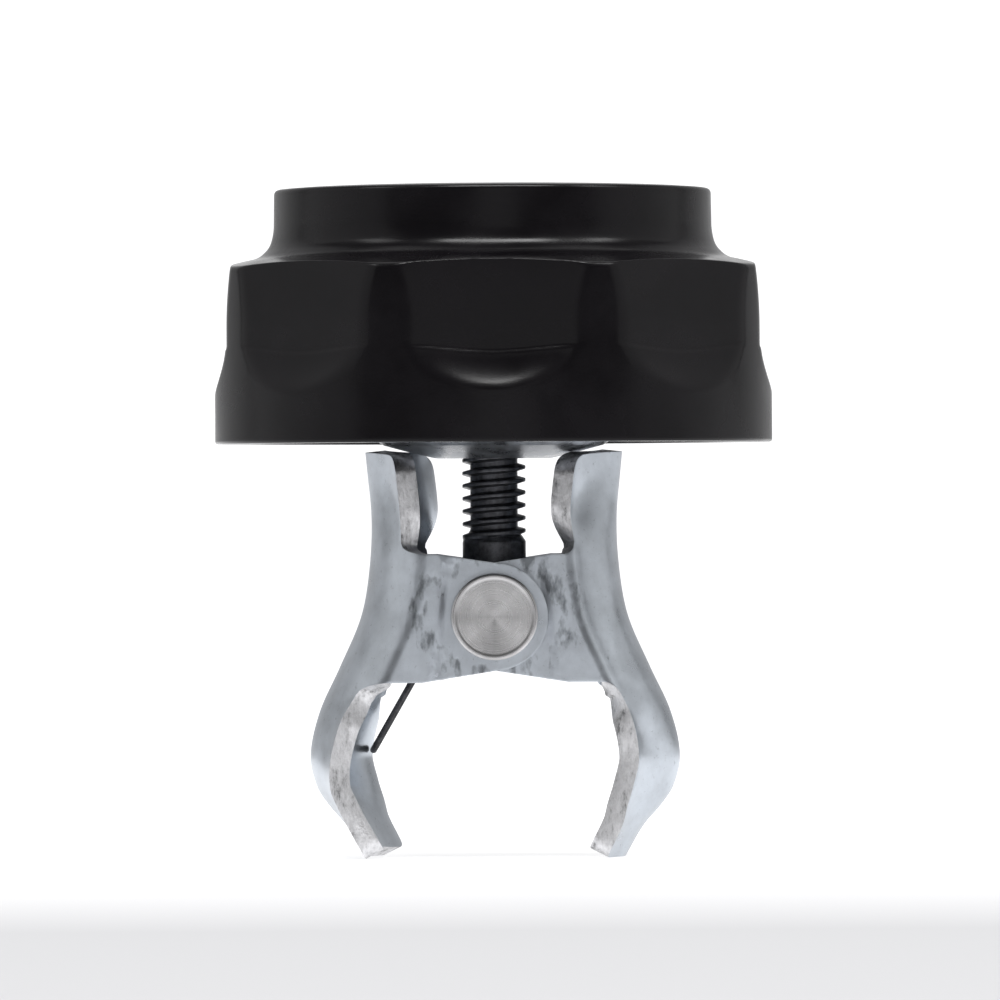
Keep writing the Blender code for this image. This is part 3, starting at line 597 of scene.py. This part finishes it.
class CLAMP_OT_cap(bpy.types.Operator):
    """Domed cap pressed into the crown on four pegs"""

    bl_idname = "clamp.cap"
    bl_label = "Cap"

    UNDERSIDE, RIM = 38.2 * MM, 40.1 * MM
    PEG_RADIUS, PEG_FOOT, PEG_CIRCLE = 2.0 * MM, 32.9 * MM, 26.0 * MM
    PEG_ANGLES = (45, 135, 225, 315)

    def execute(self, context):
        low, rim, peg = self.UNDERSIDE, self.RIM, self.PEG_RADIUS
        radius = size("knob_cap", 0) / 2
        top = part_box("knob_cap")[1][2] - KNOB_Z
        bend = np.linspace(0, 1, 12)[1:] * math.pi / 2
        dome = np.stack([radius * np.cos(bend), rim + (top - rim) * np.sin(bend)], axis=1)
        wall = rounded([(0.1 * MM, low), (radius, low), (radius, rim), (0.1 * MM, rim)], 0.05 * MM, 4)[4:11]
        outline = np.vstack([[(0, low)], wall, dome])
        section = rounded([(0, self.PEG_FOOT), (peg, self.PEG_FOOT), (peg, low + MM), (0, low + MM)],
                          [0, 0.4 * MM, 0.1 * MM, 0], 4)
        pegs = [moved(turned(section, 32), x=self.PEG_CIRCLE * math.cos(a), y=self.PEG_CIRCLE * math.sin(a))
                for a in np.radians(self.PEG_ANGLES)]
        black = once("moulded_black_nylon", moulded_black, tuple(context.scene.clamp_knob.black))
        parts = [moved(part, z=KNOB_Z) for part in (turned(outline, 256), *pegs)]
        piece("crown_cap", parts, [black], "knob", "knob_cap")
        return {"FINISHED"}


class CLAMP_OT_washer(bpy.types.Operator):
    """Dished washer that the jaws' tops bear on"""

    bl_idname = "clamp.washer"
    bl_label = "Thrust washer"

    FLAT, SHEET, BORE = 9.0 * MM, 2.0 * MM, 5.25 * MM
    LIFT_POWER = 1.1

    def execute(self, context):
        """Underside: height = drop + lift x share to the power 1.1, from the flat to the rim."""
        flat, sheet, bore = self.FLAT, self.SHEET, self.BORE
        radius, drop = size("thrust_washer", 0) / 2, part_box("thrust_washer")[0][2]
        lift = size("thrust_washer", 2) - sheet
        share = np.linspace(0, 1, 24)
        under = np.stack([flat + (radius - flat) * share, drop + lift * share**self.LIFT_POWER], axis=1)
        over = under[::-1] + np.array([0, sheet])
        # The rim's edge is a half round of half the sheet's thickness.
        turn = np.linspace(-math.pi / 2, math.pi / 2, 9)[1:-1]
        rim = np.stack([
            radius - sheet / 2 + np.cos(turn) * sheet / 2,
            under[-1, 1] + sheet / 2 + np.sin(turn) * sheet / 2,
        ], axis=1)
        inner = under[:, 0] < radius - sheet / 2
        under, over = under[inner], over[inner[::-1]]
        outline = np.vstack([[(bore, drop + sheet), (bore, drop)], under, rim, over])
        # Painted reflection: the washer's steel is made darker than its own colour, standing in for the dark
        # insides of the jaws that its dish reflects.
        painted_dark_steel = once("oiled_spring_steel", blackened_steel, linear("#84878c"), (0.22, 0.4), 3.0)
        piece("dished_washer", [turned(outline, 160)], [painted_dark_steel], "carriage", "thrust_washer")
        return {"FINISHED"}


# ---- Stud, rivet and spring ---------------------------------------------
class CLAMP_OT_stud(bpy.types.Operator):
    """Eye stud: trapezoidal thread, plain shank and the eye round the rivet"""

    bl_idname = "clamp.stud"
    bl_label = "Eye stud"

    THREAD_START = 11.5 * MM
    RUN_OUT = 2.4 * MM
    EYE_THICKNESS = 8.0 * MM
    BORE = 3.75 * MM
    SHANK_FOOT = 7.0 * MM
    COLUMNS = 72

    def thread(self, settings):
        """Height = low + pitch (turn + share) + pitch angle / 2 pi.

        Radius = crest - depth x trapezoid(share), faded out at the shank.
        """
        crest, depth, pitch = settings.stud_radius, settings.depth, settings.pitch
        low, top = PIVOT_Z + self.THREAD_START, STUD_TOP
        share = np.array([0, 0.05, 0.10, 0.14, 0.27, 0.30, 0.34, 0.38, 0.50,
                          0.56, 0.62, 0.66, 0.69, 0.73, 0.86, 0.90, 0.95])
        # The trapezoid: root in the middle, crest at both ends, corners eased.
        hollow = np.interp(share, [0.12, 0.31, 0.69, 0.88], [0, 1, 1, 0])
        hollow = 0.6 * hollow + 0.4 * smooth(hollow)
        turns = math.ceil((top - low) / pitch) + 2
        rise = (np.arange(turns)[:, None] + share[None]).reshape(-1) - 1
        angle = np.linspace(0, 2 * math.pi, self.COLUMNS + 1)
        z = low + pitch * (rise[:, None] + angle[None] / (2 * math.pi))
        inset = depth * np.tile(hollow, turns)[:, None] * smooth((z - low) / self.RUN_OUT)
        z = np.clip(z, low, top)
        chamfer = crest - depth + (top - z)
        radius = np.minimum(crest - inset, np.maximum(chamfer, crest - depth))
        return skin(around(radius, angle, z), closed=False)

    def ends(self, settings):
        """Flat discs that close the thread at both ends, with the plain shank below."""
        angle = np.linspace(0, 2 * math.pi, self.COLUMNS + 1)
        low, foot = PIVOT_Z + self.THREAD_START, PIVOT_Z + self.SHANK_FOOT
        crest, root = settings.stud_radius, settings.stud_radius - settings.depth
        made = []
        for radii, heights in (((0, crest, crest), (foot, foot, low)), ((root, 0), (STUD_TOP, STUD_TOP))):
            r, z = np.array(radii)[:, None], np.array(heights)[:, None]
            made.append(skin(around(r, angle, z), closed=False))
        return made

    def eye(self):
        """The eye: a rounded rectangle turned about the rivet."""
        half = self.EYE_THICKNESS / 2
        radius = PIVOT_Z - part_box("eye_stud")[0][2]
        outline = rounded([(self.BORE, -half), (radius, -half), (radius, half), (self.BORE, half)],
                          [0.4 * MM, 0.8 * MM, 0.8 * MM, 0.4 * MM], 6)
        return along_rivet(turned(outline, 96))

    def execute(self, context):
        settings = context.scene.clamp_stud
        oxide = once("black_oxide_steel", blackened_steel, tuple(settings.oxide))
        parts = [self.thread(settings), *self.ends(settings), self.eye()]
        piece("threaded_eye_stud", parts, [oxide], "hub", "eye_stud", sharp=50)
        return {"FINISHED"}


class CLAMP_OT_rivet(bpy.types.Operator):
    """Rivet with its tail washer and the two sleeves beside the eye"""

    bl_idname = "clamp.rivet"
    bl_label = "Rivet and sleeves"

    SHANK, BORE = 3.5 * MM, 3.75 * MM
    HEAD_HEIGHT, TAIL_HEIGHT, TAIL_HEAD = 2.2 * MM, 1.6 * MM, 5.2 * MM
    DISHED = 0.12 * MM

    def execute(self, context):
        steel = once("faced_steel", faced_steel, tuple(context.scene.clamp_stud.turned))
        head, tail_head, shank = size("pivot_rivet", 0) / 2, self.TAIL_HEAD, self.SHANK
        seat, tail = FRONT_HEAD - self.HEAD_HEIGHT, REAR_HEAD - self.TAIL_HEIGHT
        front = rounded([
            (0, -tail + 0.2 * MM), (shank, -tail + 0.2 * MM), (shank, seat), (head, seat),
            (head, FRONT_HEAD - 0.08 * MM), (head - 0.55 * MM, FRONT_HEAD),
            (head - 0.9 * MM, FRONT_HEAD - self.DISHED), (0, FRONT_HEAD - self.DISHED),
        ], np.array([0, 0.05, 0.2, 0.25, 0.35, 0.2, 0.15, 0]) * MM, 6)
        bend = np.linspace(0, math.pi / 2, 12)
        dome = np.stack([tail_head * np.cos(bend), -tail - self.TAIL_HEIGHT * np.sin(bend)], axis=1)
        dome[-1, 0] = 0
        rear = np.vstack([[(0, -tail)], [(tail_head - 0.2 * MM, -tail)], dome])
        parts = [along_rivet(turned(finer(front, 0.6 * MM), 128)), along_rivet(turned(rear, 96))]
        piece("rivet", parts, [steel], "hub", "pivot_rivet")
        zinc = zinc_finish(context.scene)
        for name, node in (
            ("rivet_tail_washer", "tail_washer"),
            ("front_spacer", "spacer_front"),
            ("spring_bush", "spring_sleeve"),
        ):
            low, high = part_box(node)
            bore, outer, foot, top = self.BORE, size(node, 0) / 2, -high[1], -low[1]
            outline = rounded([(bore, foot), (outer, foot), (outer, top), (bore, top)], 0.2 * MM, 5)
            piece(name, [along_rivet(turned(outline, 96))], [zinc], "hub", node)
        return {"FINISHED"}


class CLAMP_OT_spring(bpy.types.Operator):
    """Torsion spring round its bush, made as two halves with one leg each"""

    bl_idname = "clamp.spring"
    bl_label = "Torsion spring"

    RADIUS = 6.2 * MM
    PITCH = 1.2 * MM
    FIRST_Y = 4.95 * MM
    # Angles round the rivet, in degrees: where the coil starts, where its halves meet and where it ends
    START, SPLIT, END = 150.2, -255.0, -490.2
    LEFT_LEG, RIGHT_LEG, HOOK = 28.0 * MM, 13.0 * MM, 3.0 * MM
    LEFT_ANGLE, RIGHT_ANGLE = 60.2, 20.0  # degrees below level
    HOOK_BEND = 1.1 * MM
    LEG_START = 0.4 * MM
    HINGED = 12 * MM  # a length out along a leg

    def coil(self, start, end, steps):
        """Points at radius R that climb one pitch a turn between two angles; and their radial directions."""
        angle = np.radians(np.linspace(start, end, steps))
        climb = self.FIRST_Y + self.PITCH * (math.radians(self.START) - angle) / (2 * math.pi)
        radial = np.stack([np.cos(angle), 0 * angle, np.sin(angle)], axis=-1)
        return radial * self.RADIUS + climb[:, None] * np.array([0, 1, 0]), radial

    def tube(self, path, radial, wire, sides=20):
        """A circle carried along the path, its first axis the radial direction made square; domed ends."""
        along = np.gradient(path, axis=0)
        along /= np.linalg.norm(along, axis=1, keepdims=True)
        first = radial - np.sum(radial * along, axis=1, keepdims=True) * along
        first /= np.linalg.norm(first, axis=1, keepdims=True)
        second = np.cross(along, first)
        turn = np.linspace(0, 2 * math.pi, sides, endpoint=False)
        cap = np.linspace(0, math.pi / 2, 4)[:-1]
        radii = np.concatenate([np.sin(cap), np.ones(len(path)), np.sin(cap)[::-1]]) * wire
        back = np.concatenate([-np.cos(cap), np.zeros(len(path)), np.cos(cap)[::-1]]) * wire * 0.6
        rows = np.concatenate([np.zeros(3, int), np.arange(len(path)), np.full(3, len(path) - 1)])
        ring = (np.cos(turn)[None, :, None] * first[rows][:, None]
                + np.sin(turn)[None, :, None] * second[rows][:, None])
        grid = (path[rows] + along[rows] * back[:, None])[:, None] + ring * radii[:, None, None]
        return moved(skin(grid), z=PIVOT_Z)

    def leg(self, angle):
        """Direction of a leg that many degrees below level, towards +X."""
        return np.array([math.cos(math.radians(angle)), 0, -math.sin(math.radians(angle))])

    def half(self, name, path, directions, jaw, leg, *nodes):
        """One half of the wire, a tube from the coil at the rivet out along its leg."""
        settings = bpy.context.scene.clamp_stud
        wire = wire_finish(bpy.context.scene)
        obj = piece(name, [self.tube(path, directions, settings.wire)], [wire], None, *nodes)
        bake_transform(obj)

    def execute(self, context):
        coil, radial = self.coil(self.START, self.SPLIT, 90)
        left = self.leg(self.LEFT_ANGLE) * np.array([-1, 1, 1])
        back = np.array([0, 1, 0])
        straight = self.LEFT_LEG - self.HOOK_BEND
        leg = coil[0] + np.linspace(straight, self.LEG_START, 40)[:, None] * left
        bend = np.linspace(0, math.pi / 2, 10)[:-1, None]
        corner = coil[0] + straight * left + self.HOOK_BEND * back
        curve = corner + self.HOOK_BEND * (np.cos(bend) * left - np.sin(bend) * back)
        tip = curve[0] + (self.HOOK - self.HOOK_BEND) * back
        path = np.vstack([tip, curve, leg, coil])
        directions = np.vstack([np.repeat(radial[:1], len(path) - len(coil), axis=0), radial])
        self.half("spring_left_half", path, directions, "jaw_left", left, "torsion_spring")

        coil, radial = self.coil(self.SPLIT, self.END, 60)
        right = self.leg(self.RIGHT_ANGLE)
        leg = coil[-1] + np.linspace(self.LEG_START, self.RIGHT_LEG, 24)[:, None] * right
        path = np.vstack([coil, leg])
        directions = np.vstack([radial, np.repeat(radial[-1:], len(leg), axis=0)])
        self.half("spring_right_half", path, directions, "jaw_right", right)
        return {"FINISHED"}


# ---- Jaws ---------------------------------------------------------------
class CLAMP_OT_jaws(bpy.types.Operator):
    """Two pressed jaws: the same beaded strip with two ears, the right one turned half a turn"""

    bl_idname = "clamp.jaws"
    bl_label = "Jaws"

    # Height over the rivet, crest from the axis, and how far the outer and inner edges lie inside it
    LINE = np.array([
        (25.2, 20.3, 4.6, 7.4), (16.0, 19.4, 4.6, 7.4), (8.0, 19.7, 4.8, 6.8), (0.0, 21.1, 4.8, 6.8),
        (-8.0, 24.5, 4.8, 6.8), (-15.0, 27.7, 4.0, 6.5), (-22.0, 29.2, 3.4, 6.6), (-27.0, 28.1, 2.2, 6.5),
        (-30.0, 26.1, 1.4, 5.4), (-33.0, 23.5, 0.3, 3.6), (-38.0, 20.5, 0.1, 3.1),
    ]) * MM
    WAVE = 0.95 * math.pi
    CREST_RISE, CREST_FADE = 0.7 * MM, 5 * MM
    EAR_TOP, EAR_BOTTOM = 9.8 * MM, -10.3 * MM
    TOP_SLOPE, BOTTOM_SLOPE = 9.0 * MM, 11.5 * MM
    EAR_BLEND, CREST_BLEND = 6.5 * MM, 9.0 * MM
    NOTCH = 1.9 * MM
    TIP_ROUND = 2.0 * MM
    EAR_END_RADIUS = 8.4 * MM
    HOLE = 3.75 * MM
    STEP_PLACE, STEP_LEAN, STEP_WIDTH = 7.7 * MM, 0.11, 1.8 * MM  # coined step, from the stud's axis
    STEP_END, STEP_FADE = 5 * MM, 4 * MM  # the same, from the crest
    # side: (sign in Y, half-depth, wrap beside the ear, ear face, height of the coined step)
    SIDES = {
        "outer": (-1, 12.4 * MM, 4.8 * MM, 14.4 * MM, 0.6 * MM),
        "inner": (1, 10.5 * MM, 6.8 * MM, 10.9 * MM, 0.3 * MM),
    }

    def line(self, z):
        """Crest, outer-side and inner-side wraps: cubics through LINE with central-difference slopes."""
        knots, values = self.LINE[:, 0], self.LINE[:, 1:]
        slopes = np.vstack([
            (values[1] - values[0]) / (knots[1] - knots[0]),
            (values[2:] - values[:-2]) / (knots[2:] - knots[:-2])[:, None],
            (values[-1] - values[-2]) / (knots[-1] - knots[-2]),
        ])
        i = np.clip(np.searchsorted(-knots, -z, side="right") - 1, 0, len(knots) - 2)
        span = (knots[i + 1] - knots[i])[..., None]
        t = (z - knots[i])[..., None] / span
        found = ((2 * t**3 - 3 * t**2 + 1) * values[i] + (t**3 - 2 * t**2 + t) * slopes[i] * span
                 + (3 * t**2 - 2 * t**3) * values[i + 1] + (t**3 - t**2) * slopes[i + 1] * span)
        return np.moveaxis(found, -1, 0)

    def heights(self, corner):
        """Row heights from top to tip, with rows exactly at the ends of the notches and roundings."""
        top, foot = self.LINE[0, 0], self.LINE[-1, 0]
        stops = [top, top - 0.4 * corner, top - corner, self.EAR_TOP + self.NOTCH,
                 self.EAR_BOTTOM - self.NOTCH, foot + self.TIP_ROUND, foot]
        pitches = np.array([0.15, 0.4, 0.5, 0.5, 0.5, 0.2]) * MM
        rows = [np.linspace(a, b, max(3, round((a - b) / pitch)), endpoint=False)
                for a, b, pitch in zip(stops, stops[1:], pitches)]
        return np.concatenate([*rows, [foot]])

    def half_strip(self, side, z, corner):
        """Rows by columns from crest to edge: a half-wave bead that turns into an arc beside the ear."""
        sign, edge, ear_wrap, _, _ = self.SIDES[side]
        crest, outer, inner = self.line(z)
        wrap = (outer if side == "outer" else inner)[:, None]
        top, foot = self.LINE[0, 0], self.LINE[-1, 0]
        high = np.clip(z - (top - corner), 0, corner)
        low = np.clip(foot + self.TIP_ROUND - z, 0, self.TIP_ROUND)
        kept = edge - (corner - np.sqrt(corner**2 - high**2))
        kept -= self.TIP_ROUND - np.sqrt(self.TIP_ROUND**2 - low**2)
        u = np.linspace(0, 1, 21)[None] * (kept / edge)[:, None]
        bead_y, bead_d = edge * u, wrap * (1 - np.cos(self.WAVE * u)) / (1 - math.cos(self.WAVE))
        angle = 2 * math.atan2(ear_wrap, edge)
        radius = edge / math.sin(angle)
        bend_y, bend_d = radius * np.sin(angle * u), radius * (1 - np.cos(angle * u))
        away = np.maximum(np.maximum(z - self.EAR_TOP, self.EAR_BOTTOM - z), 0)
        weight = smooth(1 - away[:, None] / (self.EAR_BLEND + self.CREST_BLEND * (1 - u**2)))
        y = bead_y + (bend_y - bead_y) * weight
        d = bead_d + (bend_d - bead_d) * weight
        near_top = smooth((z - top + self.CREST_FADE) / self.CREST_FADE)[:, None]
        raised = z[:, None] + self.CREST_RISE * (1 - u**2) * near_top
        return np.stack([-crest[:, None] + d, sign * y, raised], axis=-1)

    def coined(self, side, x, z):
        """Depth of the ear's face: its plane, and a step that stands proud beyond a slanted line."""
        _, _, _, face, step = self.SIDES[side]
        from_crest = x + self.line(z)[0]
        beyond = smooth((-x - self.STEP_PLACE + self.STEP_LEAN * z) / self.STEP_WIDTH)
        return face + step * beyond * smooth((from_crest - self.STEP_END) / self.STEP_FADE)

    def ear_bend(self, side, strip_edge):
        """From the strip's edge to the ear: an arc that goes on from the strip's angle to square.

        Its height shrinks from the strip's edge to the ear's along a quarter ellipse: the notch's fillet.
        """
        sign, edge, ear_wrap, face, _ = self.SIDES[side]
        start = 2 * math.atan2(ear_wrap, edge)
        radius = (face - edge) / (1 - math.sin(start))
        share = np.linspace(0, 1, 15)[None]
        a = start + (math.pi / 2 - start) * share
        lift = self.NOTCH * (1 - np.sqrt(1 - (1 - share) ** 2))
        z = strip_edge[:, 2:]
        z = np.where(z > 0, z * (self.EAR_TOP + lift) / (self.EAR_TOP + self.NOTCH),
                     z * (self.EAR_BOTTOM - lift) / (self.EAR_BOTTOM - self.NOTCH))
        d = ear_wrap + radius * (math.cos(start) - np.cos(a))
        x = -self.line(z)[0] + d
        y = edge + radius * (np.sin(a) - math.sin(start)) + self.coined(side, x, z) - face
        x += (strip_edge[:, :1] - x[:, :1]) * (1 - share) ** 2
        y += (np.abs(strip_edge[:, 1:2]) - y[:, :1]) * (1 - share) ** 2
        return np.stack([x, sign * y, z], axis=-1)

    def tangent(self, x, z, side):
        """Where a line from (x, z) touches the ear's end circle, as an angle."""
        reach = math.hypot(x, z)
        return math.atan2(z, x) + side * math.acos(self.EAR_END_RADIUS / reach)

    def ear_plate(self, side, bend_end):
        """The ear: straight lines from its outline to the hole's rim, all pointing at the rivet."""
        sign = self.SIDES[side][0]
        top_corner, foot_corner = (-self.TOP_SLOPE, self.EAR_TOP), (-self.BOTTOM_SLOPE, self.EAR_BOTTOM)
        high, low = self.tangent(*top_corner, -1), self.tangent(*foot_corner, 1)
        arc = np.linspace(low % (2 * math.pi), high % (2 * math.pi) + 2 * math.pi, 60)

        def run(a, b, steps):
            return np.array(a) + (np.array(b) - np.array(a)) * np.linspace(0, 1, steps + 1)[1:, None]

        points = [bend_end[:, [0, 2]]]
        points.append(run(points[-1][-1], foot_corner, 10))
        round_end = self.EAR_END_RADIUS * np.stack([np.cos(arc), np.sin(arc)], axis=1)
        points.append(run(foot_corner, round_end[0], 12))
        points.append(round_end[1:])
        points.append(run(round_end[-1], top_corner, 8))
        points.append(run(top_corner, points[0][0], 12)[:-1])
        loop = np.vstack(points)
        rim = loop / np.linalg.norm(loop, axis=1, keepdims=True) * self.HOLE
        t = np.linspace(0, 1, 22)[:, None, None]
        flat = loop[None] * (1 - t) + rim[None] * t
        x, z = flat[..., 0], flat[..., 1]
        return skin(np.stack([x, sign * self.coined(side, x, z), z], axis=-1))

    def sheet(self, corner):
        """All parts of one pressing's outer surface, in the left jaw's place."""
        z = self.heights(corner)
        halves = {side: self.half_strip(side, z, corner) for side in self.SIDES}
        parts = [skin(np.concatenate([halves["outer"][:, :0:-1], halves["inner"]], axis=1), closed=False)]
        beside = (z <= self.EAR_TOP + self.NOTCH + 1e-7) & (z >= self.EAR_BOTTOM - self.NOTCH - 1e-7)
        for side in self.SIDES:
            bend = self.ear_bend(side, halves[side][beside, -1])
            parts += [skin(bend, closed=False), self.ear_plate(side, bend[:, -1])]
        return parts

    def execute(self, context):
        settings = context.scene.clamp_jaws
        sheared = once("sheared_zinc_edge", sheared_edge, tuple(settings.sheared))
        materials = [zinc_finish(context.scene), sheared]
        sheet = self.sheet(settings.corner)
        for name, turn in (("jaw_left", 1), ("jaw_right", -1)):
            parts = [moved((vertices * np.array([turn, turn, 1]), faces), z=PIVOT_Z)
                     for vertices, faces in sheet]
            obj = piece(f"pressed_{name}", parts, materials, name, name)
            pivot = Vector((0, 0, PIVOT_Z))
            # The face level with the rivet on the strip's crest points away from the stud.
            outside = min(obj.data.polygons, key=lambda face: (face.center - pivot).yz.length)
            if outside.normal.x * turn > 0:
                obj.data.flip_normals()
            wall = obj.modifiers.new("sheet", "SOLIDIFY")
            wall.thickness = settings.sheet
            wall.offset = -1
            wall.use_even_offset = True
            wall.material_offset_rim = 1
            edge = obj.modifiers.new("edge_break", "BEVEL")
            edge.width = settings.break_edge
            edge.segments = 3
            edge.limit_method = "ANGLE"
            edge.angle_limit = math.radians(55)
        return {"FINISHED"}


class CLAMP_OT_hidden(bpy.types.Operator):
    """Finishes for the nut, its ring, the stop clip and the slip washer inside the knob"""

    bl_idname = "clamp.hidden"
    bl_label = "Hidden pieces"

    def execute(self, context):
        zinc, wire = zinc_finish(context.scene), wire_finish(context.scene)
        nylon = once("natural_nylon", natural_nylon)
        finishes = {"knob_nut": zinc, "nut_retainer": wire, "stop_clip": wire, "slip_washer": nylon}
        for name, made in finishes.items():
            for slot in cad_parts[name].material_slots:
                slot.material = made
        return {"FINISHED"}


class CLAMP_OT_stage(bpy.types.Operator):
    """Pale floor that curves up into a backdrop, soft lights and the camera"""

    bl_idname = "clamp.stage"
    bl_label = "Stage"

    # The sweep, in metres: front edge, where it starts to curve, the curve's radius, top and half width
    FRONT, BEND, CURVE, TOP, HALF_WIDTH = -4.0, 2.2, 1.2, 6.0, 5.0
    # The paper's glow rises over this stretch of Y and falls over this stretch of X to each side.
    GLOW_DEPTH, GLOW_ASIDE = (-0.3, 0.1), (0.2, 0.7)
    # Soft panels: place, width, height and radiance; all point at TARGET
    TARGET = (0, 0, 0.04)
    PANELS = {
        "front_panel": ((0.1, -2.6, 0.35), 1.0, 1.2, 0.45),
        "left_panel": ((-2.0, -0.1, 0.7), 2.4, 1.6, 0.5),
        "right_panel": ((2.0, -0.1, 0.7), 2.4, 1.6, 0.5),
        "overhead": ((0.05, -0.9, 1.5), 1.3, 0.4, 17.0),
        "right_high": ((1.3, -0.5, 1.5), 0.5, 0.5, 9.0),
        "left_high": ((-1.4, -0.4, 1.4), 0.5, 0.5, 4.0),
        "top": ((0, 0.6, 1.8), 1.6, 0.8, 1.2),
    }
    SKY = 0.16
    CAMERA_SIDE, CAMERA_RISE, CAMERA_ROLL = 0.95 * MM, 18.3 * MM, -0.3

    def sweep(self, shade):
        """Floor, quarter round and wall: one outline carried along X."""
        floor_z = cad_low[2] - 0.05 * MM
        bend = np.linspace(-math.pi / 2, 0, 24)
        outline = np.vstack([
            [(self.FRONT, 0.0)],
            np.stack([self.BEND + self.CURVE * np.cos(bend), self.CURVE + self.CURVE * np.sin(bend)], axis=1),
            [(self.BEND + self.CURVE, self.TOP)],
        ])
        across = np.array([-self.HALF_WIDTH, self.HALF_WIDTH])
        grid = np.stack([
            np.broadcast_to(across[None], (len(outline), 2)),
            np.broadcast_to(outline[:, :1], (len(outline), 2)),
            np.broadcast_to(outline[:, 1:] + floor_z, (len(outline), 2)),
        ], axis=-1)
        vertices, faces = skin(grid, closed=False)
        mesh = bpy.data.meshes.new("floor")
        mesh.from_pydata(vertices.tolist(), [], faces.tolist())
        mesh.shade_smooth()
        made, tree, shader, place = finish(
            "pale_paper", Roughness=0.9, Base_Color=(*shade, 1), Emission_Color=(1, 1, 1, 1))
        # The paper glows behind the object and is mostly lit by the lamps in front of it.
        apart = add(tree, "ShaderNodeSeparateXYZ", {"Vector": place})
        behind = spread(tree, apart.outputs["Y"], (0.2, 0.95), self.GLOW_DEPTH)
        aside = add(tree, "ShaderNodeMath", {0: apart.outputs["X"]}, operation="ABSOLUTE")
        middle = spread(tree, aside.outputs["Value"], (1.0, 0.38), self.GLOW_ASIDE)
        glow = add(tree, "ShaderNodeMath", {0: behind, 1: middle}, operation="MULTIPLY")
        feed(tree, shader, Emission_Strength=glow.outputs["Value"])
        mesh.materials.append(made)
        obj = bpy.data.objects.new("floor", mesh)
        bpy.context.scene.collection.objects.link(obj)

    def light(self, name, place, width, height, radiance):
        """A soft panel; its power is pi times its area times its radiance."""
        lamp = bpy.data.lights.new(name, "AREA")
        lamp.shape = "RECTANGLE"
        lamp.size, lamp.size_y, lamp.energy = width, height, math.pi * width * height * radiance
        obj = bpy.data.objects.new(name, lamp)
        obj.visible_camera = False
        obj.location = place
        obj.rotation_euler = (Vector(self.TARGET) - Vector(place)).to_track_quat("-Z", "Y").to_euler()
        bpy.context.scene.collection.objects.link(obj)

    def execute(self, context):
        scene, settings = context.scene, context.scene.clamp_stage
        self.sweep(tuple(settings.floor))
        for name, panel in self.PANELS.items():
            self.light(name, *panel)
        world = bpy.data.worlds.new("studio")
        world.use_nodes = True
        sky = world.node_tree.nodes["Background"]
        sky.inputs["Color"].default_value = (1, 1, 1, 1)
        sky.inputs["Strength"].default_value = self.SKY
        scene.world = world
        scene.view_settings.view_transform = "Standard"
        camera = bpy.data.cameras.new("camera")
        camera.sensor_width = 36
        camera.lens = 36 * settings.distance / settings.field
        camera.clip_end = 20
        obj = bpy.data.objects.new("camera", camera)
        scene.collection.objects.link(obj)
        obj.location = (self.CAMERA_SIDE, -settings.distance, PIVOT_Z + self.CAMERA_RISE)
        obj.rotation_euler = (math.radians(90), 0, 0)
        obj.rotation_mode = "XYZ"
        obj.rotation_euler.rotate_axis("Z", math.radians(self.CAMERA_ROLL))
        scene.camera = obj
        return {"FINISHED"}


OPERATORS = (
    CLAMP_OT_knob, CLAMP_OT_cap, CLAMP_OT_washer, CLAMP_OT_stud, CLAMP_OT_rivet,
    CLAMP_OT_spring, CLAMP_OT_jaws, CLAMP_OT_hidden, CLAMP_OT_stage,
)


class CLAMP_PT_panel(bpy.types.Panel):
    """Settings and steps of the bar clamp"""

    bl_idname = "CLAMP_PT_panel"
    bl_label = "Bar Clamp"
    bl_space_type = "VIEW_3D"
    bl_region_type = "UI"
    bl_category = "Bar Clamp"

    def draw(self, context):
        for key in GROUPS:
            group, box = getattr(context.scene, key), self.layout.box()
            for name in group.__annotations__:
                box.prop(group, name)
        for operator in OPERATORS:
            self.layout.operator(operator.bl_idname)


GROUPS = {
    "clamp_knob": ClampKnobSettings,
    "clamp_jaws": ClampJawSettings,
    "clamp_stud": ClampStudSettings,
    "clamp_stage": ClampStageSettings,
}


def register():
    for cls in (*GROUPS.values(), *OPERATORS, CLAMP_PT_panel):
        bpy.utils.register_class(cls)
    for name, group in GROUPS.items():
        setattr(bpy.types.Scene, name, PointerProperty(type=group))


def unregister():
    for name in GROUPS:
        delattr(bpy.types.Scene, name)
    for cls in reversed((*GROUPS.values(), *OPERATORS, CLAMP_PT_panel)):
        bpy.utils.unregister_class(cls)


def main():
    register()
    bpy.ops.clamp.knob()
    bpy.ops.clamp.cap()
    bpy.ops.clamp.washer()
    bpy.ops.clamp.stud()
    bpy.ops.clamp.rivet()
    bpy.ops.clamp.spring()
    bpy.ops.clamp.jaws()
    bpy.ops.clamp.hidden()
    bpy.ops.clamp.stage()


if __name__ == "__main__":
    main()
